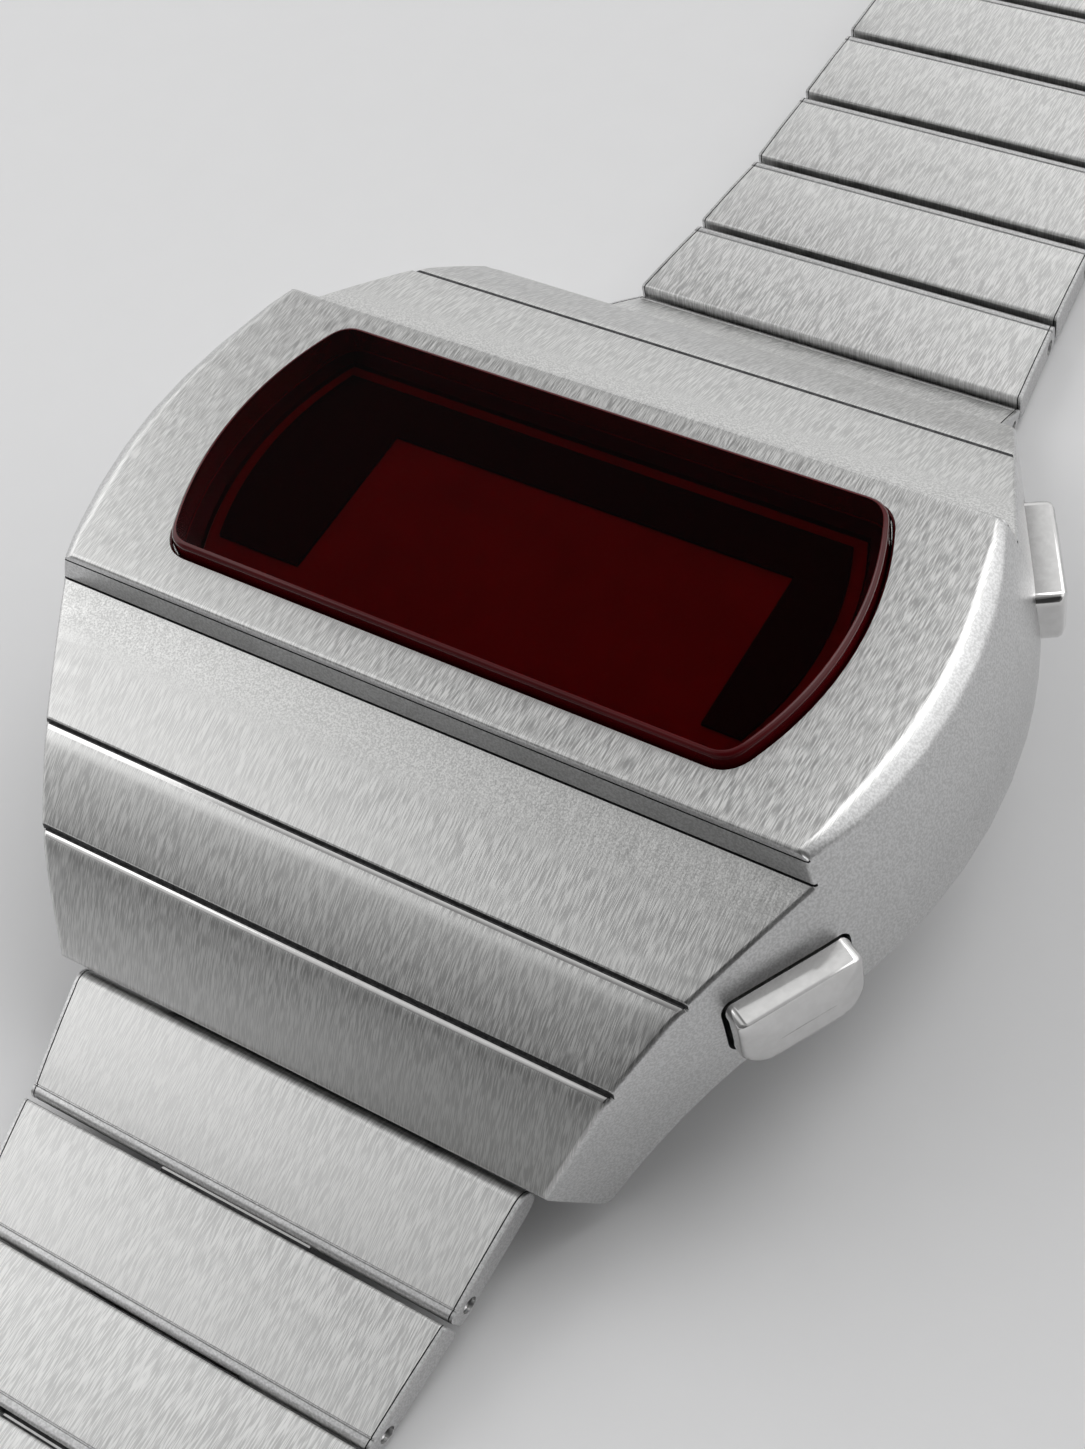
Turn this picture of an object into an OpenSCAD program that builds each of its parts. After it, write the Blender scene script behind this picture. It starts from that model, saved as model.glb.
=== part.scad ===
// Digital wristwatch with a ruby crystal, two side buttons and a tapering bracelet of flat links.
// It lies open on a table. Origin: centre of the case back's flat face, on the table.
// +X is the 3 o'clock side with the buttons, +Y is 12 o'clock, +Z is up. Millimetres.

/* [Case] */
// Height of the bezel's top face above the table
bezel_z = 13.3; // [13.1:0.1:13.6]
// Width of the bezel across its middle
bezel_w = 34.1; // [33.8:0.1:34.8]
// How far the bezel's rounded sides swell beyond its corners
bezel_sag = 1.55; // [1.4:0.05:1.7]
// Length of the bezel between its two long edges
bezel_l = 15.2; // [15:0.1:15.5]
// Angle at which the sides taper beyond the bezel
side_taper = 29.5; // [28:0.5:31]
// How far the sides swell out below the bezel's edge
side_bulge = 1.4; // [1.2:0.1:1.7]
// Depth below the bezel at which the sides are fullest
bulge_depth = 7; // [6.5:0.1:7.5]
// Height of the step from the bezel down to the first facet
step_h = 1.35; // [1.2:0.05:1.5]
// How far the step leans out
step_run = 0.27; // [0.2:0.01:0.35]
// Run and drop of the first facet
facet_1 = [4.91, 1.63]; // [1:0.01:6]
// Run and drop of the second facet
facet_2 = [3.07, 2.05]; // [1:0.01:6]
// Run and drop of the third facet
facet_3 = [2.95, 4.07]; // [1:0.01:6]
// Radius of the fine grooves between the facets
groove_r = 0.18; // [0.1:0.02:0.25]
// Distance of the lugs' lowest corner from the case's middle
lug_corner_y = 17; // [16.8:0.1:17.1]
// Height of the lugs' lowest corner above the table
lug_corner_z = 1.2; // [1.1:0.1:1.5]
// Height of the sides' lower edge at the case's middle
side_edge_z = 6.1; // [5.9:0.1:6.1]
// Half length of the level stretch of that edge, from which it curves down to the lugs
side_edge_y = 8.9; // [8.5:0.1:9.3]
// Width and length of the case's lower body, which the case back closes
belly = [29.6, 28.4]; // [28:0.1:30]
// Width and length of its cut corners
belly_cut = [4.3, 8.6]; // [4:0.1:9]
// How far its sides lean out on the way up
belly_flare = 1; // [0.8:0.1:1.2]

/* [Window and display] */
// Width of the window across its middle
window_w = 26.6; // [26.2:0.1:27]
// How far the window's rounded sides swell beyond its corners
window_sag = 1.5; // [1.3:0.05:1.7]
// Length of the window
window_l = 12.3; // [12:0.1:12.5]
// How far the window lies from the case's middle towards 12 o'clock
window_shift = 0.29; // [0.2:0.01:0.4]
// Gap between the crystal and the window's wall
crystal_gap = 0.1; // [0.06:0.01:0.15]
// How far the crystal stands above the bezel
crystal_proud = 0.55; // [0.4:0.05:0.7]
// Thickness of the crystal
crystal_t = 2.65; // [2.5:0.05:2.75]
// Width of the seat under the crystal's rim
seat_w = 0.8; // [0.7:0.05:0.9]
// Thickness of the crystal's gasket
crystal_gasket_t = 0.3; // [0.25:0.01:0.35]
// Thickness of the red filter
filter_t = 0.6; // [0.5:0.05:0.7]
// Thickness of the black mask
mask_t = 0.15; // [0.1:0.01:0.16]
// Distance of the mask's outline from the window's outline
mask_inset = 1.4; // [1.2:0.1:1.6]
// Lowest and highest edge of the mask, from the case's middle
mask_y = [-4.2, 5.2]; // [-6:0.1:6]
// Left and right edge of the mask's opening
mask_open_x = [-7.5, 9.6]; // [-11:0.1:11]
// Top edge of the mask's opening
mask_open_y = 2.7; // [2.4:0.1:3]
// Width and length of the display's ceramic base
display_base = [18, 7]; // [5:0.1:20]
// Width and length of one digit
digit = [2.2, 3.8]; // [1:0.1:4]
// Pitch of the digits
digit_pitch = 3.6; // [3.3:0.1:4]

/* [Module] */
// Width and length of the cavity for the module
cavity = [26.8, 21.6]; // [20:0.1:28]
// Width and length of the cavity's cut corners
cavity_cut = [4.6, 4.6]; // [4.2:0.1:5]
// Height of the cavity's ceiling above the table
cavity_z = 9.9; // [9.7:0.1:10]
// Gap between the module and the cavity's wall
module_gap = 0.2; // [0.15:0.01:0.25]
// Diameter of a battery
battery_d = 11.6; // [11.4:0.1:11.7]
// Thickness of a battery
battery_t = 5.4; // [5.2:0.1:5.5]
// Distance between the two batteries' centres
battery_pitch = 12.6; // [12.4:0.1:13]
// Width and length of a battery's contact strip
contact = [4, 8]; // [3:0.1:9]
// Thickness of that strip
contact_t = 0.25; // [0.2:0.01:0.3]
// Thickness of the circuit board
board_t = 0.7; // [0.6:0.05:0.8]
// Distance of the board's small parts and its screws from the cavity's wall
row_inset = 2.1; // [2:0.05:2.2]
// Length, width and height of the driver chip
chip = [5, 2.4, 0.8]; // [0.7:0.1:5.5]
// Length of the timing crystal
timing_l = 5; // [4:0.1:5.5]
// Radius of the timing crystal
timing_r = 0.5; // [0.4:0.01:0.52]
// Radius of the trimmer
trimmer_r = 1.1; // [0.9:0.05:1.2]
// Radius of a module screw's shank
module_screw_r = 0.4; // [0.35:0.01:0.45]
// How far a module screw reaches into the frame
module_screw_depth = 2.5; // [2:0.1:3]

/* [Case back] */
// Thickness of the case back's plate
back_t = 1.6; // [1.5:0.05:1.7]
// Thickness of the case back's gasket
back_gasket_t = 0.5; // [0.45:0.01:0.55]
// How far the case back's edge stays inside the lower body's edge
back_margin = 0.5; // [0.3:0.1:0.6]
// Size of the bevel round the case back's flat face
back_bevel = 0.5; // [0.3:0.1:0.6]
// Height of the case back's locating pad above its plate
back_pad_h = 0.75; // [0.7:0.01:0.8]
// Radius of a case-back screw's shank
back_screw_r = 0.55; // [0.5:0.01:0.6]
// Radius of a case-back screw's head
back_screw_head_r = 1; // [0.9:0.05:1.05]
// How far a case-back screw reaches into the case
back_screw_depth = 2.1; // [1.8:0.1:2.3]
// Position of the case-back screws from the case's middle
back_screw_at = [8.6, 11.8]; // [8.4:0.1:12]

/* [Buttons] */
// Length of a button's cap along the side of the case
button_l = 4.9; // [4.6:0.1:5]
// Height of a button's cap
button_h = 2.8; // [2.5:0.1:2.8]
// Height of a button's middle above the table
button_z = 7.85; // [7.8:0.05:8]
// How far a button stands out of the case's side
button_proud = 1.15; // [1.05:0.05:1.3]
// How far a button travels when it is pressed
button_travel = 0.7; // [0.6:0.05:0.75]
// Shift of a button from its side's reference point, away from the middle
button_shift = 0.35; // [0.2:0.05:0.5]
// How far the middle of a button's cap lies beyond its stem
cap_shift = 0.45; // [0.3:0.05:0.5]
// Gap around a button's cap in its slot
button_gap = 0.12; // [0.1:0.01:0.15]
// Radius of the crown on a button's outer face
button_crown_r = 8; // [7:0.5:9]
// Depth of a button's slot below the case's side
button_slot_depth = 1.7; // [1.6:0.05:1.8]
// Radius of a button's stem
stem_r = 0.7; // [0.65:0.01:0.75]
// Running clearance of a stem in its bore
stem_clearance = 0.04; // [0.03:0.01:0.06]
// Radius of the round section of a stem's seal
seal_r = 0.3; // [0.28:0.01:0.32]
// Thickness of a stem's retaining clip
clip_t = 0.25; // [0.2:0.01:0.3]

/* [Bracelet] */
// Distance from one hinge pin to the next
link_pitch = 5; // [4.9:0.05:5.2]
// Thickness of a link
link_t = 1.6; // [1.5:0.05:1.65]
// Length of a link's sleeve
sleeve_l = 4.8; // [4.7:0.05:4.8]
// Width of the bracelet where it meets the case
bracelet_w = 20; // [19.6:0.1:20.4]
// Width that the bracelet keeps after its taper
bracelet_end_w = 17.2; // [16.8:0.1:17.6]
// Width lost at each link of the taper
width_step = 1; // [0.8:0.1:1.2]
// Number of links on the 6 o'clock half
near_links = 12; // [8:1:14]
// Number of links on the 12 o'clock half
far_links = 10; // [8:1:12]
// Distance of the spring bars from the case's middle
spring_bar_y = 17.1; // [17:0.05:17.2]
// Height of the spring bars above the table
spring_bar_z = 3.7; // [3.6:0.05:3.8]
// Radius of a spring bar
spring_bar_r = 0.6; // [0.55:0.01:0.65]
// Distance from a spring bar to the first link's own pin
first_pitch = 5.75; // [5.6:0.05:5.9]
// Length of the first link's sleeve
first_sleeve_l = 5.1; // [5:0.05:5.1]
// Downward tilt of the first link on the 6 o'clock half
near_tilt = 18.5; // [17:0.5:20]
// Width of the slot in the case's end for the first link's tongue
lug_gap = 12; // [11.6:0.1:12.4]
// Radius of the first link's barrel round the spring bar
end_barrel_r = 0.95; // [0.9:0.01:1]
// Width of the tongue that joins two links
tongue_w = 6.7; // [6.4:0.1:7]
// Side clearance of a tongue in its slot
tongue_gap = 0.15; // [0.1:0.01:0.2]
// Thickness of a tongue's plate
tongue_t = 0.36; // [0.34:0.01:0.38]
// Radius of a tongue's barrel round its pin
barrel_r = 0.5; // [0.48:0.01:0.52]
// Radius of a link pin
pin_r = 0.3; // [0.28:0.01:0.32]
// Running clearance of a barrel on its pin
pin_clearance = 0.03; // [0.02:0.005:0.05]
// Clearance of a pin or a tongue in the sleeve that holds it
hold_clearance = 0.02; // [0.015:0.005:0.03]
// Height of the slot that a barrel turns in
slot_h = 1.16; // [1.14:0.01:1.18]

/* [Clasp] */
// Length of the clasp from its hinge to its far end
clasp_l = 28; // [27:0.5:30]
// Distance from that hinge to the pin of the cover
cover_pin_y = 2; // [2:0.05:2.2]
// Radius of the cover's pin
cover_pin_r = 0.35; // [0.3:0.01:0.36]
// Thickness of the ladder plate, the cover and the hook
plate_t = 0.5; // [0.45:0.01:0.52]
// Gap between the cover's walls and the ladder plate
cover_gap = 0.15; // [0.12:0.01:0.2]
// Number of slots in the ladder
ladder_slots = 4; // [3:1:4]
// Pitch of those slots
slot_pitch = 3.4; // [3.2:0.1:3.4]
// Length of one slot
slot_l = 1.8; // [1.6:0.1:1.9]
// Length of the hook's plate
hook_l = 14; // [14:0.5:15]
// Width of the hook's plate
hook_w = 9; // [8:0.5:10]
// Length and thickness of the hook's foot
hook_foot = [1.2, 0.3]; // [0.2:0.05:1.3]

/* [Hidden] */
$fn = 64;
eps = 0.01;
near = -1;
far = 1;
upper = 1;
lower = -1;

// Colours of the finishes
steel = [0.74, 0.74, 0.73];
polished = [0.82, 0.81, 0.8];
ruby = [0.3, 0.02, 0.04, 0.8];
black = [0.06, 0.06, 0.07];
green = [0.1, 0.32, 0.2];

// Half length of the case, and the height of its end edge
case_end_y = bezel_l / 2 + step_run + facet_1[0] + facet_2[0] + facet_3[0];
case_end_z = bezel_z - step_h - facet_1[1] - facet_2[1] - facet_3[1];

// Corners of the case's side view from the bezel's edge to its end, as [y, z]
step_foot = [bezel_l / 2 + step_run, bezel_z - step_h];
seam_1 = step_foot + [facet_1[0], -facet_1[1]];
seam_2 = seam_1 + [facet_2[0], -facet_2[1]];
seams = [step_foot, seam_1, seam_2];

// Width of the bezel at its corners, and the radius of its rounded sides
bezel_corner_w = bezel_w - 2 * bezel_sag;
bezel_side_r = (bezel_l * bezel_l / 4 + bezel_sag * bezel_sag) / (2 * bezel_sag);
bezel_side_angle = asin(bezel_l / 2 / bezel_side_r);

// Radius of the window's rounded sides
window_side_r = (window_l * window_l / 4 + window_sag * window_sag) / (2 * window_sag);

// Heights in the stack from the crystal down to the case back
crystal_top = bezel_z + crystal_proud;
crystal_bottom = crystal_top - crystal_t;
seat_z = crystal_bottom - crystal_gasket_t;
case_under = back_t + back_gasket_t;
module_z = back_t + back_pad_h + contact_t;
battery_gap = 0.1;
frame_top = module_z + battery_t + battery_gap;
board_top = frame_top + board_t;
mask_z = crystal_bottom - mask_t;
row_y = cavity[1] / 2 - row_inset;
part_x = cavity[0] / 4 - 1;
screw_gap = 0.1;
display_base_t = 0.5;
digit_t = 0.3;

// Height and thickness of a case-back screw's sunk head
back_head_z = 0.2;
back_head_t = 0.7;

// Clearance that keeps resting pieces apart
rest_gap = 0.02;

// The sides' lower edge: level in the middle, then curving down to the lugs, as [y, z]
edge_steps = 8;
lower_edge = [for (k = [0:edge_steps])
    [side_edge_y + (lug_corner_y - side_edge_y) * k / edge_steps,
     side_edge_z - (side_edge_z - lug_corner_z) * pow(k / edge_steps, 2)]];

// Places along a button's axis, measured from the watch's middle square to the case's side
function bulge_at(depth) = side_bulge * (1 - pow(max(0, bulge_depth - depth) / bulge_depth, 2));
side_n = bezel_corner_w / 2 * cos(side_taper) + bezel_l / 2 * sin(side_taper)
    + bulge_at(bezel_z - button_z);
button_face_n = side_n + button_proud;
button_floor_n = side_n - button_slot_depth;
spring_pressed_l = 0.3;
button_under_n = button_floor_n + button_travel + spring_pressed_l;
stem_wall_t = 1.3;
stem_inner_wall_n = button_floor_n - stem_wall_t;
seal_n = (button_floor_n + stem_inner_wall_n) / 2;
seal_ring_r = stem_r + seal_r + rest_gap;
clip_r = 2 * stem_r;
clip_bore_r = stem_r - 0.2;
clip_gap = 0.05;
clip_n = stem_inner_wall_n - clip_gap - clip_t;
stem_tip_l = 0.4;
stem_end_n = clip_n - stem_tip_l;
spring_bore_r = stem_r + 0.1;
spring_t = 0.2;

// The switch leaf stands in a pocket of the module, with room to bend behind it
leaf = [0.15, 2.4, 3];
leaf_gap = 0.05;
leaf_room = 0.3;
leaf_n = stem_end_n - button_travel - leaf_gap - leaf[0];
pocket_w = 4;
pocket_h = 3.8;

// Sizes shared by the links
spring_bar_l = lug_gap + 2 * 1.4;
link_r = link_t / 2;
sleeve_gap = link_pitch - sleeve_l;
tongue_slot_w = tongue_w + 2 * tongue_gap;
tongue_hold = 1.5;
pin_sink = 0.05;

// Sizes of the clasp; its hook reaches in from the far end as far as the first slot
ladder_w = bracelet_end_w - 2 * (plate_t + cover_gap);
ladder_start = cover_pin_y + link_r + cover_gap;
first_slot_y = clasp_l - hook_l + 0.6;

function link_length(i) = i == 1 ? first_pitch : link_pitch;
function link_sleeve(i) = i == 1 ? first_sleeve_l : sleeve_l;
function seam_w(k) = max(bracelet_end_w, bracelet_w - width_step * k);

// Downward tilt of each link: the bracelet comes down from the case and then lies flat
function tilt(side, i) =
    side == far ? (i == 1 ? asin((spring_bar_z - link_r) / first_pitch) : 0)
    : i == 1 ? near_tilt
    : i == 2 ? asin((spring_bar_z - first_pitch * sin(near_tilt) - link_r) / link_pitch)
    : 0;

// Place of each link's own hinge, as [distance from the case's middle, height]
function hinge_at(side, i) =
    i == 1 ? [spring_bar_y, spring_bar_z]
    : hinge_at(side, i - 1)
        + link_length(i - 1) * [cos(tilt(side, i - 1)), -sin(tilt(side, i - 1))];

// Outline of the case from above, grown outwards by a distance
function case_side(grow, sign) = [
    for (k = [-8:8])
        let (a = bezel_side_angle * k / 8)
        [sign * (bezel_w / 2 - bezel_side_r + (bezel_side_r + grow) * cos(a)),
         (bezel_side_r + grow) * sin(a)]];
function taper_end(grow, sx, sy) =
    let (beyond = 2)
    [sx * (bezel_corner_w / 2 + grow / cos(side_taper)
        - tan(side_taper) * (case_end_y + beyond - bezel_l / 2)), sy * (case_end_y + beyond)];
function case_outline(grow) = concat(
    [taper_end(grow, 1, -1)], case_side(grow, 1), [taper_end(grow, 1, 1), taper_end(grow, -1, 1)],
    [for (p = [16:-1:0]) case_side(grow, -1)[p]], [taper_end(grow, -1, -1)]);

// A rectangle with its four corners cut off
function cut_points(size, cut) =
    let (x = size[0] / 2, y = size[1] / 2, cx = x - cut[0], cy = y - cut[1])
    [[x, cy], [cx, y], [-cx, y], [-x, cy], [-x, -cy], [-cx, -y], [cx, -y], [x, -cy]];
module cut_rectangle(size, cut) {
    polygon(cut_points(size, cut));
}

// A block with cut corners whose sides lean from a low size to a high one
module cut_block(low, high, cut, z, height) {
    polyhedron(
        points = concat(
            [for (p = cut_points(low, cut)) [p[0], p[1], z]],
            [for (p = cut_points(high, cut)) [p[0], p[1], z + height]]),
        faces = concat(
            [[for (i = [0:7]) i], [for (i = [15:-1:8]) i]],
            [for (i = [0:7]) [8 + i, 8 + (i + 1) % 8, (i + 1) % 8, i]]));
}

// A bar with rounded ends, along its first axis from start to end
module stadium(start, end, height) {
    r = height / 2;
    translate([start + r, -r]) square([end - start - height, height]);
    for (x = [start + r, end - r]) translate([x, 0]) circle(r);
}

// Sweeps a side view, drawn in y and z, across the watch
module across(width) {
    rotate([90, 0, 90]) linear_extrude(width, center = true) children();
}

// A round bar across the watch
module bar(r, length) {
    rotate([0, 90, 0]) cylinder(r = r, h = length, center = true);
}

// All that lies inside the window's rounded right side, made smaller by an inset
module window_side(inset) {
    translate([window_w / 2 - window_side_r, 0]) {
        circle(window_side_r - inset, $fn = 128);
        translate([-window_w, -window_l]) square([window_w, 2 * window_l]);
    }
}

// A block with the window's outline, made smaller by an inset
module window_block(inset, z, height) {
    translate([0, window_shift, z]) linear_extrude(height) intersection() {
        square([window_w, window_l - 2 * inset], center = true);
        window_side(inset);
        mirror([1, 0]) window_side(inset);
    }
}

// Case

// The swelling sides, before the facets are cut: rings of the outline at falling heights
module case_barrel() {
    depths = concat([for (f = [0:7]) f / 7 * bulge_depth], [bezel_z - lug_corner_z + 1]);
    rings = [for (d = depths) [for (p = case_outline(bulge_at(d))) [p[0], p[1], bezel_z + eps - d]]];
    n = len(rings[0]);
    last = len(rings) - 1;
    polyhedron(
        points = [for (ring = rings, p = ring) p],
        faces = concat(
            [[for (i = [n - 1:-1:0]) i], [for (i = [0:n - 1]) last * n + i]],
            [for (k = [0:last - 1], i = [0:n - 1])
                [k * n + i, k * n + (i + 1) % n, (k + 1) * n + i]],
            [for (k = [0:last - 1], i = [0:n - 1])
                [k * n + (i + 1) % n, (k + 1) * n + (i + 1) % n, (k + 1) * n + i]]));
}

// The case's side view: bezel, step, three facets, cut-back ends and raised lower edge
module case_profile() {
    half = concat([[bezel_l / 2, bezel_z], step_foot, seam_1, seam_2, [case_end_y, case_end_z]],
        [for (k = [edge_steps:-1:0]) lower_edge[k]]);
    polygon(concat(half, [for (i = [len(half) - 1:-1:0]) [-half[i][0], half[i][1]]]));
}

// Slot in the case's end in which the first link's tongue swings round the spring bar
module lug_slot_profile() {
    r = end_barrel_r + 0.15;
    translate([spring_bar_y, spring_bar_z]) {
        circle(r);
        polygon([[0.5 * r, 0.86 * r], [1.5, 0.2], [2.5, 0], [2.5, -spring_bar_z],
                 [-r, -spring_bar_z], [-r, 0]]);
    }
}

module at_button(side) {
    translate([0, 0, button_z]) rotate([0, 0, side * side_taper])
        translate([0, side * button_shift, 0]) children();
}

// A round piece along a button's axis, from one distance out to another
module along_button(from, to, r) {
    translate([from, 0, 0]) rotate([0, 90, 0]) cylinder(r = r, h = to - from);
}

module button_shape(side, from, to, grow) {
    translate([(from + to) / 2, side * cap_shift, 0]) rotate([90, 0, 90]) linear_extrude(to - from, center = true)
        stadium(-button_l / 2 - grow, button_l / 2 + grow, button_h + 2 * grow);
}

// Room inside the case for a button's clip and its switch leaf
module switch_pocket(from) {
    translate([from, -pocket_w / 2, -pocket_h / 2])
        cube([stem_inner_wall_n - from, pocket_w, pocket_h]);
}

module case_body() {
    color(steel) difference() {
        union() {
            intersection() {
                case_barrel();
                across(2 * bezel_w) case_profile();
            }
            cut_block(belly, belly + 2 * belly_flare * [1, 1], belly_cut,
                case_under, side_edge_z + 1 - case_under);
        }
        window_block(0, seat_z, bezel_z - seat_z + 1);
        window_block(seat_w, cavity_z - 1, bezel_z - cavity_z);
        translate([0, 0, case_under - 1]) linear_extrude(cavity_z - case_under + 1)
            cut_rectangle(cavity, cavity_cut);
        for (s = [-1, 1], seam = seams) translate([0, s * seam[0], seam[1]])
            bar(groove_r, 2 * bezel_w);
        for (side = [near, far]) {
            across(lug_gap) mirror([side == near ? 1 : 0, 0]) lug_slot_profile();
            translate([0, side * spring_bar_y, spring_bar_z])
                bar(spring_bar_r + hold_clearance, spring_bar_l + 2 * rest_gap);
        }
        for (side = [upper, lower]) at_button(side) {
            button_shape(side, button_floor_n, button_face_n + 1, button_gap);
            along_button(stem_inner_wall_n - 1, button_floor_n + eps, stem_r + stem_clearance);
            along_button(seal_n - seal_r - rest_gap, seal_n + seal_r + rest_gap,
                seal_ring_r + seal_r + rest_gap);
            switch_pocket(leaf_n - leaf_room);
        }
        case_screw_holes(case_under - 1, back_screw_depth + 1.1, back_screw_r);
    }
}

module case_screw_holes(z, depth, r) {
    for (sx = [-1, 1], sy = [-1, 1])
        translate([sx * back_screw_at[0], sy * back_screw_at[1], z]) cylinder(r = r, h = depth);
}

// Window and display

module crystal() {
    color(ruby) window_block(crystal_gap, crystal_bottom, crystal_t);
}

module crystal_gasket() {
    color(black) difference() {
        window_block(crystal_gap, seat_z, crystal_gasket_t);
        window_block(seat_w, seat_z - 1, crystal_gasket_t + 2);
    }
}

module display_mask() {
    top = window_shift;
    color(black) difference() {
        intersection() {
            window_block(mask_inset, mask_z, mask_t);
            translate([-window_w / 2, mask_y[0] + top, mask_z - 1])
                cube([window_w, mask_y[1] - mask_y[0], 3]);
        }
        translate([mask_open_x[0], mask_y[0] + top - 1, mask_z - 1])
            cube([mask_open_x[1] - mask_open_x[0], mask_open_y - mask_y[0] + 1, 3]);
    }
}

module display_filter() {
    color([0.35, 0.02, 0.03]) window_block(seat_w + crystal_gap, mask_z - filter_t, filter_t);
}

module led_display() {
    centre = (mask_open_x[0] + mask_open_x[1]) / 2;
    color([0.25, 0.05, 0.05]) translate([centre, window_shift, board_top]) {
        translate([0, 0, display_base_t / 2])
            cube([display_base[0], display_base[1], display_base_t], center = true);
        for (k = [-1.5:1.5]) translate([k * digit_pitch, 0, display_base_t + digit_t / 2])
            cube([digit[0], digit[1], digit_t], center = true);
    }
}

// Module

module module_plan() {
    cut_rectangle(cavity - 2 * module_gap * [1, 1], cavity_cut);
}

module switch_pockets() {
    for (side = [upper, lower]) at_button(side) switch_pocket(leaf_n - leaf_room);
}

module module_screw_places() {
    for (s = [-1, 1]) translate([0, s * row_y, 0]) children();
}

module battery_places() {
    for (s = [-1, 1]) translate([s * battery_pitch / 2, 0, module_z]) children();
}

module module_frame() {
    color([0.2, 0.2, 0.22]) difference() {
        translate([0, 0, module_z]) linear_extrude(frame_top - module_z) module_plan();
        battery_places() translate([0, 0, -1])
            cylinder(d = battery_d + 2 * battery_gap, h = battery_t + 3);
        switch_pockets();
        module_screw_places() translate([0, 0, frame_top - module_screw_depth])
            cylinder(r = module_screw_r, h = 2 * module_screw_depth);
    }
}

module circuit_board() {
    color(green) difference() {
        translate([0, 0, frame_top]) linear_extrude(board_t) module_plan();
        switch_pockets();
        module_screw_places() translate([0, 0, frame_top - 1])
            cylinder(r = module_screw_r + screw_gap, h = board_t + 2);
    }
}

module module_screws() {
    color(polished) module_screw_places() difference() {
        union() {
            translate([0, 0, frame_top - module_screw_depth])
                cylinder(r = module_screw_r, h = module_screw_depth + board_t);
            translate([0, 0, board_top]) cylinder(r = 2 * module_screw_r, h = 0.5);
        }
        translate([0, 0, board_top + 0.5]) cube([2, 0.2, 0.4], center = true);
    }
}

module driver_chip() {
    color(black) translate([-part_x, row_y, board_top + chip[2] / 2]) cube(chip, center = true);
}

module timing_crystal() {
    color(polished) translate([part_x, row_y, board_top + timing_r]) bar(timing_r, timing_l);
}

module trimmer() {
    height = 0.7;
    color(polished) translate([-part_x, -row_y, board_top]) difference() {
        cylinder(r = trimmer_r, h = height);
        translate([0, 0, height]) cube([1.5 * trimmer_r, 0.24, 0.4], center = true);
    }
}

module battery() {
    cap_t = 0.5;
    color(polished) {
        translate([0, 0, cap_t]) cylinder(d = battery_d, h = battery_t - cap_t);
        cylinder(d = battery_d - 2.4, h = cap_t);
    }
}

module battery_left() {
    translate([-battery_pitch / 2, 0, module_z]) battery();
}

module battery_right() {
    translate([battery_pitch / 2, 0, module_z]) battery();
}

module battery_contacts() {
    color([0.85, 0.7, 0.35]) battery_places() translate([0, 0, -contact_t / 2])
        cube([contact[0], contact[1], contact_t], center = true);
}

// The leaf stands on the module's frame, and the button's stem reaches it at full travel
module switch_leaf(side) {
    color([0.85, 0.7, 0.35]) at_button(side) translate([leaf_n, -leaf[1] / 2, -pocket_h / 2])
        cube(leaf);
}

module upper_switch_leaf() { switch_leaf(upper); }
module lower_switch_leaf() { switch_leaf(lower); }

// Case back

module back_plan(inset) {
    cut_rectangle(belly - 2 * inset * [1, 1], belly_cut);
}

module pad_plan() {
    cut_rectangle(cavity - module_gap * [1, 1], cavity_cut);
}

// Holes that a case-back screw passes with a small gap
module back_screw_holes(z, height, r) {
    case_screw_holes(z, height, r + screw_gap);
}

module case_back() {
    color(steel) difference() {
        union() {
            cut_block(belly - 2 * (back_margin + back_bevel) * [1, 1],
                belly - 2 * back_margin * [1, 1], belly_cut, 0, back_bevel);
            translate([0, 0, back_bevel]) linear_extrude(back_t - back_bevel)
                back_plan(back_margin);
            linear_extrude(back_t + back_pad_h) pad_plan();
        }
        back_screw_holes(-1, back_t + 2, back_screw_r);
        back_screw_holes(-1, back_head_z + back_head_t + 1, back_screw_head_r);
    }
}

module case_back_gasket() {
    color(black) difference() {
        translate([0, 0, back_t]) linear_extrude(back_gasket_t) back_plan(1.5 * back_margin);
        translate([0, 0, back_t - 1]) linear_extrude(3) cut_rectangle(cavity, cavity_cut);
        back_screw_holes(0, back_t + 2, back_screw_r);
    }
}

module case_back_screws() {
    color(polished) difference() {
        union() {
            case_screw_holes(back_head_z, case_under + back_screw_depth - back_head_z,
                back_screw_r);
            case_screw_holes(back_head_z, back_head_t, back_screw_head_r);
        }
        for (sx = [-1, 1], sy = [-1, 1])
            translate([sx * back_screw_at[0], sy * back_screw_at[1], back_head_z])
                cube([3, 0.3, 0.6], center = true);
    }
}

// Buttons

module button(side) {
    color(polished) at_button(side) difference() {
        union() {
            intersection() {
                button_shape(side, button_under_n, button_face_n, 0);
                translate([button_face_n - button_crown_r, side * cap_shift, 0])
                    cylinder(r = button_crown_r, h = 3 * button_h, center = true, $fn = 128);
            }
            along_button(stem_end_n, button_under_n + eps, stem_r);
        }
        difference() {
            along_button(clip_n, clip_n + clip_t, 2 * stem_r);
            along_button(clip_n - 1, clip_n + 1, clip_bore_r);
        }
    }
}

module button_clip(side) {
    color(steel) at_button(side) difference() {
        along_button(clip_n, clip_n + clip_t, clip_r);
        along_button(clip_n - 1, clip_n + 1, clip_bore_r);
        translate([clip_n - 1, -clip_bore_r, -2 * clip_r])
            cube([2, 2 * clip_bore_r, 2 * clip_r]);
    }
}

module button_spring(side) {
    color(steel) at_button(side) difference() {
        along_button(button_floor_n, button_under_n, spring_bore_r + spring_t);
        along_button(button_floor_n - 1, button_under_n + 1, spring_bore_r);
    }
}

module button_seal(side) {
    color(black) at_button(side) translate([seal_n, 0, 0]) rotate([0, 90, 0])
        rotate_extrude() translate([seal_ring_r, 0]) circle(seal_r);
}

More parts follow.
